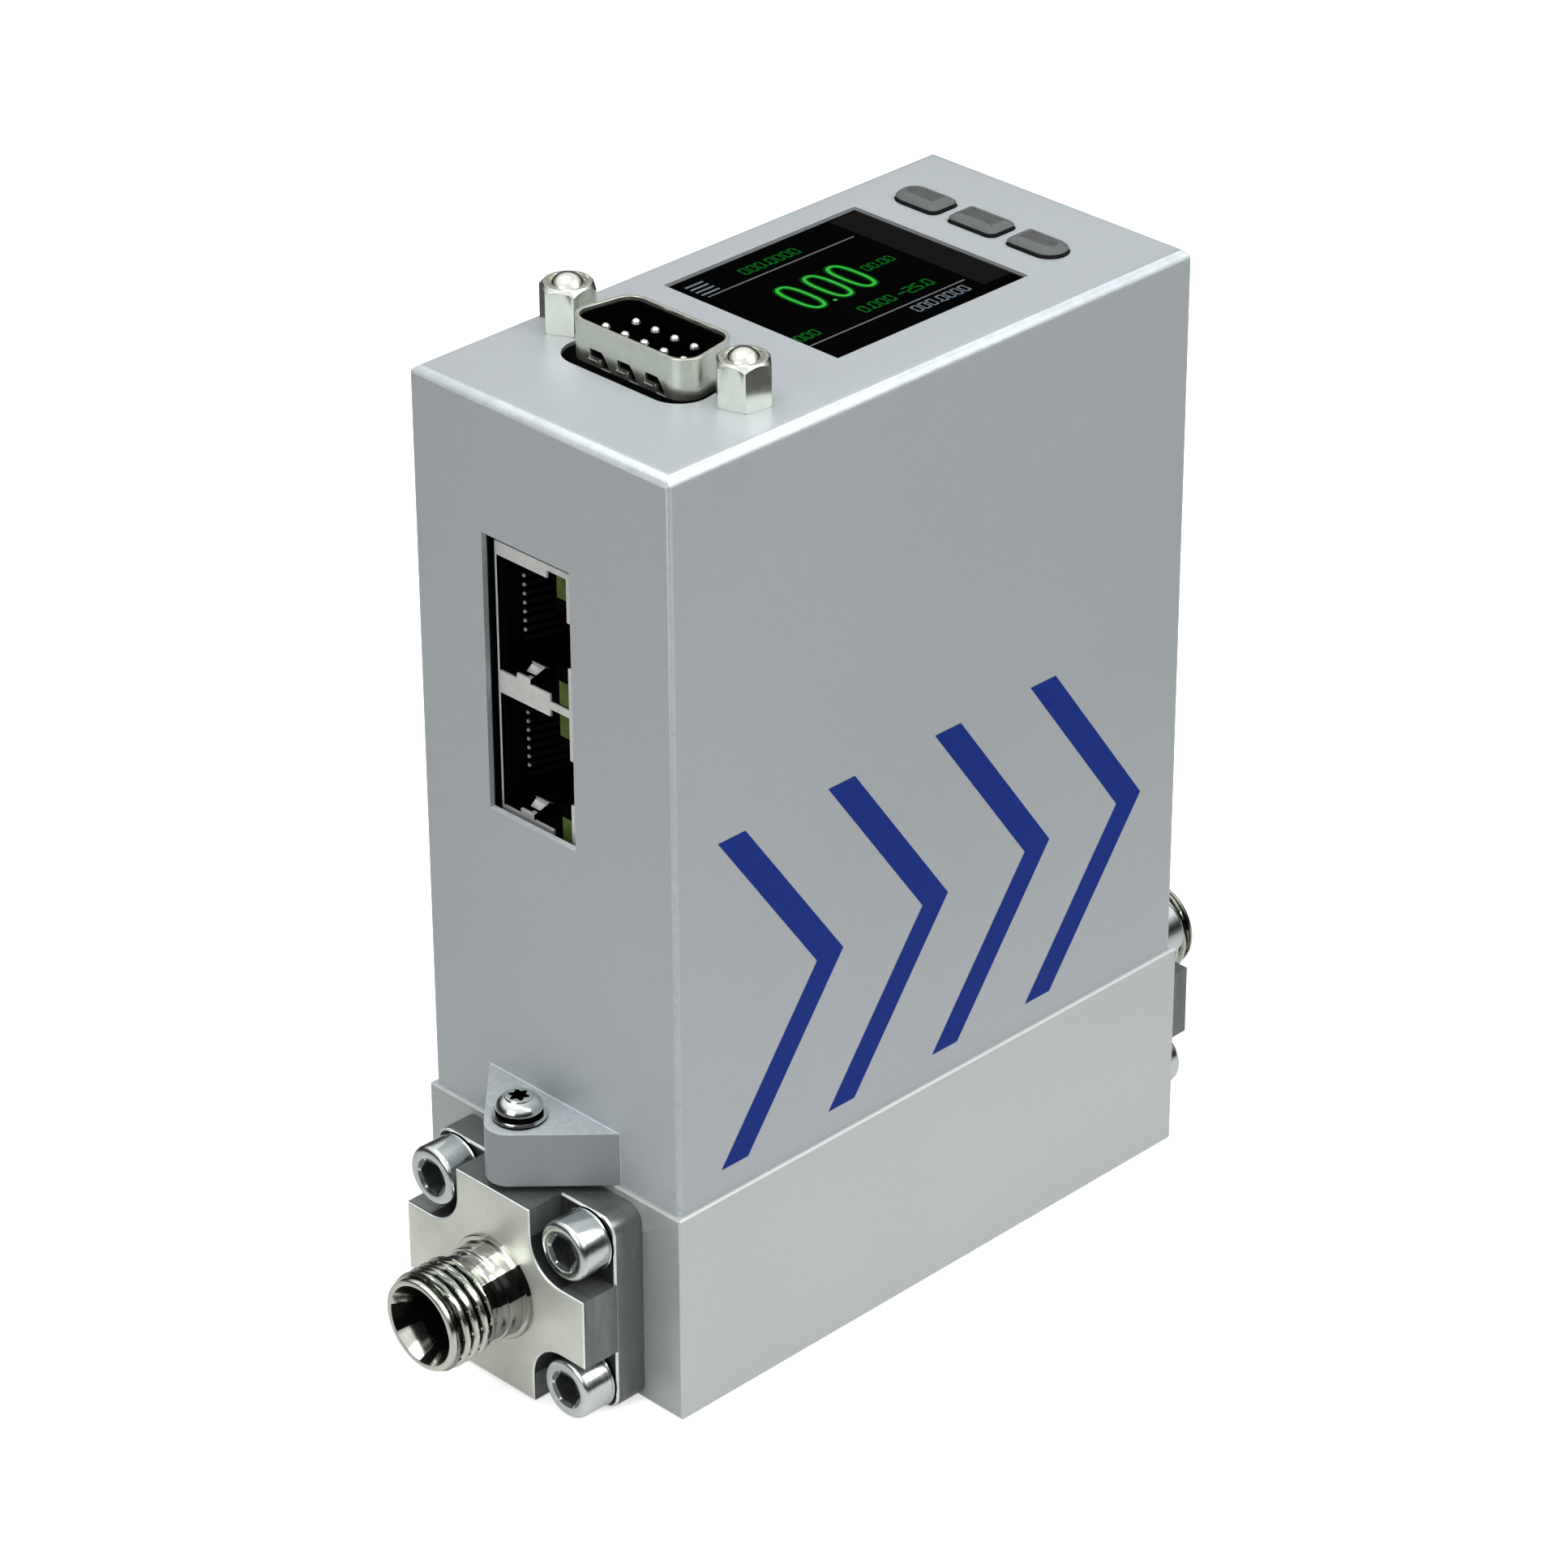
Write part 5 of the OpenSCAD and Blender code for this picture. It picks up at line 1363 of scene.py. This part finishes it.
@dataclass
class SerialPlug:
    """The nine-way plug with its jackscrews.

    Attributes:
        shell_edge: Bevel of the bright shell.
        insulator_edge: Bevel of the insulator.
        jack_edge: Bevel of the jackscrews.
        pin_edge: Bevel of the pins.
        shine: Length of a pin that catches the light.
    """

    shell_edge: float = 0.12
    insulator_edge: float = 0.05
    jack_edge: float = 0.1
    pin_edge: float = 0.04
    shine: float = 0.75

    def build(self) -> None:
        """Softens the shell, the insulator, the jackscrews and the pins."""
        softened("serial_shell", PLATED_STEEL, self.shell_edge)
        softened("serial_insulator", SHADOW_BLACK, self.insulator_edge)
        softened("jackscrews", JACK_STEEL, self.jack_edge)
        pins = softened("serial_pins", GOLD_CONTACT, self.pin_edge)
        tip_z = span("serial_pins")[1, 2]
        recoat(pins, SHADOW_BLACK, lambda c, n: c[:, 2] < tip_z - self.shine)


@dataclass
class NetworkSockets:
    """The stacked pair of network sockets.

    Attributes:
        tip: Depth and place across the flow of a contact's tip.
        jack_pitch: Distance between the two jacks.
        pitch: Distance between contacts.
        count: Number of contacts that are seen.
        radius: Radius of the painted glint at a contact's tip.
        wall: Depth and place across the flow past which the shield's far wall is shaded.
        tab_y: Places of the two sides of the node's grounding tabs.
        tab_x: Shaded stretch of a tab.
        tab_z: Lowest and highest place of a shaded tab.
        tab_shift: How far the tabs lie towards +Y of the node's.
        leaf_x: Place past which a tab is its bent tip.
        leaf_shift: How far the tips lie along and above the node's.
        shield_edge: Bevel of the shield.
        housing_edge: Bevel of the housing.
    """

    tip: tuple[float, float] = (-33.35, 7.0)
    jack_pitch: float = 15.6
    pitch: float = 1.02
    count: int = 7
    radius: float = 0.22
    wall: tuple[float, float] = (-30.0, 6.0)
    tab_y: tuple[float, float] = (2.5, 4.5)
    tab_x: tuple[float, float] = (-35.75, -34.8)
    tab_z: tuple[float, float] = (61.0, 79.0)
    tab_shift: float = 1.0
    leaf_x: float = -33.75
    leaf_shift: tuple[float, float] = (-1.1, 0.45)
    shield_edge: float = 0.04
    housing_edge: float = 0.05

    def bend_tabs(self, mesh: bpy.types.Mesh) -> None:
        """Moves the grounding tabs across the jacks, and bends their tips up and out.

        Args:
            mesh: The shield's copy.
        """
        points = read_points(mesh)
        tab = np.min([np.abs(points[:, 1] / MM - y) for y in self.tab_y], axis=0) < 0.02
        leaf = tab & (points[:, 0] / MM > self.leaf_x)
        points[tab, 1] += self.tab_shift * MM
        points[np.ix_(leaf, (0, 2))] += np.array(self.leaf_shift) * MM
        mesh.vertices.foreach_set("co", points.ravel())

    def build(self) -> None:
        """Softens the shield and its housing, and caps the contacts with painted glints."""
        shield = softened("network_shield", SHIELD_TIN, self.shield_edge)
        self.bend_tabs(shield.data)
        low_y, high_y = self.tab_y[0] + 0.9, self.tab_y[1] + 1.1
        recoat(shield, SHADOW_BLACK, lambda c, n: (n[:, 1] < -0.5) & (c[:, 0] < self.wall[0])
               & (c[:, 1] > self.wall[1]))
        recoat(shield, SHADOW_BLACK, lambda c, n: within(c[:, 0], *self.tab_x)
               & within(c[:, 1], low_y, high_y) & within(c[:, 2], *self.tab_z))
        softened("network_housing", SHADOW_BLACK, self.housing_edge)
        middle_z = span("network_contacts")[:, 2].mean()
        jacks = [middle_z + side * self.jack_pitch / 2 for side in (-1, 1)]
        steps = (np.arange(self.count) - self.count / 2 + 1) * self.pitch
        turns = np.radians((-80, -40, 0, 40, 80))
        bead = lathe([(self.radius * math.cos(a), self.radius * math.sin(a)) for a in turns], 12)
        parts = [bead.shifted(*self.tip, z + step) for z in jacks for step in steps]
        # Painted glints at the contacts' tips.
        add_piece("contact_tips", joined(parts), CONTACT_GLINT)


@dataclass
class Display:
    """The window and what is lit behind it, in millimetres from the screen's lower left corner.

    Attributes:
        border: Width of the window's edge round the screen.
        lift: Height of the lit shapes above the window.
        zeros: Middles of the large figures.
        zero_low: Lower edge of their middle line.
        zero_size: Width and height of their middle line.
        glow_w: Width of the soft band round their strokes.
        line_w: Width of their strokes.
        readings: Text, left edge, lower edge, height and stroke of each green row of figures.
        caption: The same for the white row.
        point: Left and lower edge of the point between the large figures.
        icon: Left edge, lower edge, length and height of the lowest of the icon's bars.
        icon_step: Distance between its bars.
        icon_bars: Number of its bars.
        rules: Left edge, lower edge, length and height of each thin line.
        strip: The same for the bezel's strip.
        corner: Place of the screen's lower left corner.
        top: Height of the lit shapes.
    """

    border: float = 1.6
    lift: float = 0.03
    zeros: tuple[float, ...] = (8.2, 12.1, 15.5)
    zero_low: float = 10.3
    zero_size: tuple[float, float] = (2.15, 6.1)
    glow_w: float = 0.95
    line_w: float = 0.42
    readings: tuple[tuple[str, float, float, float, float], ...] = (
        ("000.0000", 8.3, 21.2, 1.4, 0.24), ("00.00", 17.7, 13.0, 1.25, 0.22),
        ("0.000", 10.3, 6.1, 1.4, 0.24), ("-25.0", 15.8, 6.1, 1.4, 0.24), ("000", 0.8, 5.8, 1.3, 0.24))
    caption: tuple[str, float, float, float, float] = ("000.0000", 14.2, 2.4, 1.35, 0.18)
    point: tuple[float, float] = (10.0, 10.2)
    icon: tuple[float, float, float, float] = (1.5, 20.7, 2.5, 0.3)
    icon_step: float = 0.8
    icon_bars: int = 4
    rules: tuple[tuple[float, float, float, float], ...] = ((1.7, 20.0, 21.1, 0.2), (0.5, 4.4, 22.5, 0.2))
    strip: tuple[float, float, float, float] = (23.6, 2.3, 4.1, 22.2)
    corner: np.ndarray = field(init=False)
    top: float = field(init=False)

    def __post_init__(self) -> None:
        """Reads the screen's corner and the shapes' height from the window."""
        window = span("display_window")
        self.corner = window[0, :2] + self.border
        self.top = window[1, 2] + self.lift

    def bar(self, u: float, v: float, length: float, height: float, lift: float = 0.0) -> Shell:
        """Straight bar.

        Args:
            u: Left edge on the screen.
            v: Lower edge on the screen.
            length: Length along the screen.
            height: Height on the screen.
            lift: Height above the other lit shapes.

        Returns:
            The flat shape.
        """
        x, y = self.corner + (u, v)
        return flat_polygon(np.array([(x, y), (x + length, y), (x + length, y + height), (x, y + height)]),
                            self.top + lift)

    def zero(self, u: float, stroke: float, lift: float) -> Shell:
        """Large figure 0: a closed band whose middle line is a superellipse.

        With a the angle, each side is the size over 2 times the sign of cos a or sin a and
        its amount to the power 0.75.

        Args:
            u: Middle of the figure on the screen.
            stroke: Width of the band.
            lift: Height above the other lit shapes.

        Returns:
            The lit shape.
        """
        a = np.linspace(0, 2 * np.pi, 49)
        line = [np.sign(f(a)) * np.abs(f(a)) ** 0.75 * size / 2
                for f, size in zip((np.cos, np.sin), self.zero_size)]
        middle = self.corner + (u, self.zero_low + self.zero_size[1] / 2)
        return ribbon(np.stack(line, -1) + middle, stroke, self.top + lift)

    def digits(self, text: str, u: float, v: float, size: float, stroke: float) -> Shell:
        """Row of small figures drawn with seven strokes each.

        Args:
            text: Figures, points and dashes.
            u: Left edge on the screen.
            v: Lower edge on the screen.
            size: Height of a figure.
            stroke: Width of a stroke.

        Returns:
            The lit shapes.
        """
        w, h, gap = 0.52 * size, size / 2, 0.28 * size
        strokes = {"a": (0, 2 * h, w, 2 * h), "b": (w, h, w, 2 * h), "c": (w, 0, w, h), "d": (0, 0, w, 0),
                   "e": (0, 0, 0, h), "f": (0, h, 0, 2 * h), "g": (0, h, w, h)}
        lit = {"0": "abcdef", "2": "abged", "5": "afgcd", "-": "g"}
        shells = []
        for sign in text:
            if sign == ".":
                shells.append(self.bar(u, v, 1.3 * stroke, 1.3 * stroke))
                u += 0.3 * size
                continue
            for key in lit[sign]:
                x0, y0, x1, y1 = strokes[key]
                shells.append(self.bar(u + x0 - stroke / 2, v + y0 - stroke / 2,
                                       x1 - x0 + stroke, y1 - y0 + stroke))
            u += w + gap
        return joined(shells)

    def build(self) -> None:
        """Makes the bezel's strip and the lit shapes, each kind one piece."""
        under, over = -0.02, 0.02
        point = self.bar(*self.point, self.line_w, self.line_w, over)
        left, low, length, height = self.icon
        icon = [self.bar(left, low + self.icon_step * i, length, height) for i in range(self.icon_bars)]
        lit = {
            BEZEL_BROWN: [self.bar(*self.strip, under)],
            PIXEL_HALO: [self.zero(u, self.glow_w, 0.0) for u in self.zeros],
            PIXEL_GREEN: [self.zero(u, self.line_w, over) for u in self.zeros] + [point],
            PIXEL_DIM: [self.digits(*reading) for reading in self.readings],
            PIXEL_WHITE: icon + [self.digits(*self.caption)],
            PIXEL_GREY: [self.bar(*rule) for rule in self.rules],
        }
        for finish, shells in lit.items():
            add_piece(finish.name, joined(shells), finish)


@dataclass
class Key:
    """One rubber key: upright sides with painted shade, a slope with painted light and a flat plateau.

    Attributes:
        name: Name of the key.
        end: 0 for a plain key, 1 or -1 where that end is round.
        flange: How far the node's hidden flange reaches past the key, all round.
        corner_r: Radius of a plain corner.
        root: How far the cap reaches below the node.
        side_h: Height of the upright sides above the cover.
        top_h: Height of the plateau above the cover.
        slope: Width of the slope.
        shares: Size of each ring of the plateau, as a share of the slope's inner edge.
        level: Least share of a face's normal upwards on the plateau.
        box: Least and greatest x, y and z of the node.
    """

    name: str
    end: int
    flange: float = 0.55
    corner_r: float = 0.9
    root: float = 0.9
    side_h: float = 0.45
    top_h: float = 0.95
    slope: float = 0.95
    shares: tuple[float, ...] = (0.9, 0.5, 0.02)
    level: float = 0.985
    box: np.ndarray = field(init=False)

    def __post_init__(self) -> None:
        """Reads the key's place and size from its node."""
        self.box = span(self.name + "_key")

    def outline(self) -> np.ndarray:
        """Outline of the key in plan, about its own middle.

        Returns:
            The anticlockwise outline.
        """
        d, w, _ = (self.box[1] - self.box[0]) / 2 - self.flange
        round_r = d - 0.01
        up, low = (round_r if self.end == side else self.corner_r for side in (1, -1))
        return rounded_outline([(-d, -w, low), (d, -w, low), (d, w, up), (-d, w, up)], 10)

    def build(self) -> None:
        """Makes the cap: rings of the outline, each further in and higher, up to a shrinking plateau."""
        low, high = COVER_TOP + self.side_h, COVER_TOP + self.top_h
        edge = [(0.0, self.box[0, 2] - self.root), (0.0, low - 0.05), (0.05, low),
                (0.5 * self.slope, low + 0.32), (self.slope, high - 0.04)]
        outline = self.outline()
        rings = [np.column_stack([inset(outline, d), np.full(len(outline), z)]) for d, z in edge]
        last = rings[-1][:, :2]
        middle = last.mean(0)
        rings += [np.column_stack([middle + (last - middle) * share, np.full(len(outline), high)])
                  for share in self.shares]
        cap = loft(np.array(rings)).shifted(*self.box[:, :2].mean(0), 0)
        node = f"{self.name}_key"
        # The cap starts in the painted light of the slope, then gets painted shade on its upright sides.
        piece = add_piece(node + "_cap", cap, KEY_SLOPE_LIGHT, node, f"{self.name}_button")
        recoat(piece, KEY_SIDE_SHADE, lambda c, n: np.abs(n[:, 2]) < STANDING)
        recoat(piece, KEY_TOP, lambda c, n: n[:, 2] > self.level)


def dress_nodes() -> None:
    """Gives every node its finish, inside as well as outside."""
    for name, node in frame["nodes"].items():
        node.data.materials.clear()
        node.data.materials.append(NODE_FINISH[SLOTS[name]].material())


# ---- Studio ----


@dataclass
class Studio:
    """Floor, lights and camera.

    Attributes:
        azimuth: Camera's angle round the part in degrees.
        elevation: Camera's angle above the floor in degrees.
        roll: Camera's turn about its own axis in degrees.
        focal_px: Focal length in widths of a pixel.
        width_px: Width of the rendered frame in pixels.
        shift_right: Place of the camera's axis to the right of the origin in millimetres.
        shift_up: Place of the camera's axis above the origin in millimetres.
        distance: Distance of the camera in millimetres.
        floor_size: Half the side of the floor in metres.
        floor_z: Height of the floor in metres, just below the part.
        floor_colour: Colour of the floor in even light.
        far_colour: Its colour in mirrors, far from the part.
        seen_level: Level at which the floor glows for the camera.
        mirror_share: Share of that level in mirrors.
        mirror_reach: Distances in metres between which the floor fades in mirrors.
        mirror_levels: Its levels in mirrors at these distances.
        bands: Height from 0 below to 1 above, and level, of each band that mirrors show round the part.
        soft_levels: Levels of the soft light from below and from above.
        target: Point that the lamps look at, in metres.
        lamps: Name, place, side in metres and power in watts of each lamp.
    """

    azimuth: float = -44.8984
    elevation: float = 29.3112
    roll: float = -0.26843
    focal_px: float = 7131.474
    width_px: float = 1934.0
    shift_right: float = -2.914305
    shift_up: float = 47.714528
    distance: float = 637.0823
    floor_size: float = 0.6
    floor_z: float = -8e-5
    floor_colour: tuple[float, float, float, float] = (0.86, 0.86, 0.85, 1)
    far_colour: tuple[float, float, float, float] = (0.02, 0.02, 0.02, 1)
    seen_level: float = 0.62
    mirror_share: float = 0.6
    mirror_reach: tuple[float, float] = (0.05, 0.16)
    mirror_levels: tuple[float, float] = (0.55, 0.05)
    bands: tuple[tuple[float, float], ...] = (
        (0.40, 0.75), (0.47, 0.02), (0.62, 0.03), (0.72, 0.42), (0.80, 1.0), (1.0, 0.85))
    soft_levels: tuple[float, float] = (0.16, 0.44)
    target: tuple[float, float, float] = (0.0, 0.0, 0.05)
    lamps: tuple[tuple[str, tuple[float, float, float], float, float], ...] = (
        ("key", (0.30, -0.75, 0.85), 0.7, 6.9), ("top", (-0.12, 0.12, 1.1), 0.8, 6.6),
        ("fill", (-0.95, -0.1, 0.45), 0.6, 3.1))

    def floor(self) -> None:
        """Lays the pale floor: white to the camera, and in mirrors bright near the part only."""
        s = self.floor_size
        corners = [(x, y, self.floor_z) for x, y in ((-s, -s), (s, -s), (s, s), (-s, s))]
        mesh = bpy.data.meshes.new("floor")
        mesh.from_pydata(corners, [], [(0, 1, 2, 3)])
        floor = bpy.data.objects.new("floor", mesh)
        bpy.context.scene.collection.objects.link(floor)
        paint = bpy.data.materials.new("floor_white")
        paint.use_nodes = True
        tree = paint.node_tree
        shader = tree.nodes["Principled BSDF"]
        shader.inputs["Roughness"].default_value = 0.9
        shader.inputs["Specular IOR Level"].default_value = 0.0
        shader.inputs["Emission Color"].default_value = (1, 1, 1, 1)
        ray = tree.nodes.new("ShaderNodeLightPath").outputs
        place = tree.nodes.new("ShaderNodeTexCoord").outputs["Object"]
        reach = add_node(tree, "ShaderNodeVectorMath", {"0": place}, operation="LENGTH").outputs["Value"]
        near = between(tree, reach, self.mirror_reach, self.mirror_levels)
        mirrored = math_node(tree, "MULTIPLY", ray["Is Glossy Ray"], near)
        seen = math_node(tree, "MAXIMUM", ray["Is Camera Ray"], ray["Is Transmission Ray"])
        both = math_node(tree, "MAXIMUM", seen, math_node(tree, "MULTIPLY", mirrored, self.mirror_share))
        glow = math_node(tree, "MULTIPLY", both, self.seen_level)
        tree.links.new(glow, shader.inputs["Emission Strength"])
        hidden = math_node(tree, "MULTIPLY", ray["Is Glossy Ray"], math_node(tree, "SUBTRACT", 1.0, near))
        colour = mixed(tree, hidden, self.floor_colour, self.far_colour)
        tree.links.new(colour, shader.inputs["Base Color"])
        mesh.materials.append(paint)

    def world(self) -> None:
        """Sets the surround: white where it is seen, and banded by height where it is mirrored."""
        world = bpy.data.worlds.new("surround")
        world.use_nodes = True
        tree = world.node_tree
        ray = tree.nodes.new("ShaderNodeLightPath").outputs
        direction = tree.nodes.new("ShaderNodeTexCoord").outputs["Generated"]
        rise = add_node(tree, "ShaderNodeSeparateXYZ", {"0": direction}).outputs["Z"]
        band = add_node(tree, "ShaderNodeValToRGB", {"Fac": math_node(tree, "MULTIPLY_ADD", rise, 0.5, 0.5)})
        stops = band.color_ramp.elements
        stops[0].position, stops[1].position = self.bands[0][0], self.bands[-1][0]
        for position, _ in self.bands[1:-1]:
            stops.new(position)
        for stop, (_, level) in zip(stops, self.bands):
            stop.color = (level, level, level, 1)
        soft = between(tree, rise, (-0.2, 1.0), self.soft_levels)
        seen = math_node(tree, "MAXIMUM", ray["Is Camera Ray"], ray["Is Transmission Ray"])
        mirrored = math_node(tree, "MULTIPLY", ray["Is Glossy Ray"], band.outputs[0])
        lit = math_node(tree, "MULTIPLY", ray["Is Diffuse Ray"], soft)
        level = math_node(tree, "MAXIMUM", math_node(tree, "MAXIMUM", seen, mirrored), lit)
        shade = tree.nodes["Background"]
        shade.inputs["Color"].default_value = (1, 1, 1, 1)
        tree.links.new(level, shade.inputs["Strength"])
        bpy.context.scene.world = world

    def light(self) -> None:
        """Adds the square soft lamps, each looking at the part."""
        for name, place, size, power in self.lamps:
            data = bpy.data.lights.new(name, "AREA")
            data.size = size
            data.energy = power
            lamp = bpy.data.objects.new(name, data)
            lamp.location = place
            look = Vector(self.target) - Vector(place)
            lamp.rotation_euler = look.to_track_quat("-Z", "Y").to_euler()
            bpy.context.scene.collection.objects.link(lamp)

    def camera(self) -> None:
        """Places the camera at the fitted pose."""
        az, el, roll = (math.radians(v) for v in (self.azimuth, self.elevation, self.roll))
        back = Vector((math.sin(az) * math.cos(el), -math.cos(az) * math.cos(el), math.sin(el)))
        right = Vector((math.cos(az), math.sin(az), 0))
        up = back.cross(right)
        turned_right = math.cos(roll) * right + math.sin(roll) * up
        turned_up = math.cos(roll) * up - math.sin(roll) * right
        data = bpy.data.cameras.new("camera")
        data.sensor_width = 36.0
        data.lens = self.focal_px * data.sensor_width / self.width_px
        data.clip_start, data.clip_end = 0.01, 20.0
        camera = bpy.data.objects.new("camera", data)
        place = (self.shift_right * turned_right + self.shift_up * turned_up + self.distance * back) * MM
        turn = Matrix((turned_right, turned_up, back)).transposed()
        camera.matrix_world = Matrix.Translation(place) @ turn.to_4x4()
        bpy.context.scene.collection.objects.link(camera)
        bpy.context.scene.camera = camera

    def build(self) -> None:
        """Sets up the whole studio."""
        bpy.context.scene.view_settings.view_transform = "Standard"
        self.floor()
        self.world()
        self.light()
        self.camera()


def main() -> None:
    """Builds the controller piece by piece, then the studio."""
    logging.basicConfig(level=logging.INFO, format="%(name)s %(message)s")
    dress_nodes()
    FlowBlock().build()
    Cover().build()
    for name, side in (("inlet", -1), ("outlet", 1)):
        EndFitting(name, side).build()
    EarScrews().build()
    SerialPlug().build()
    NetworkSockets().build()
    Display().build()
    for name, end in (("upper", 1), ("middle", 0), ("lower", -1)):
        Key(name, end).build()
    Studio().build()


if __name__ == "__main__":
    main()
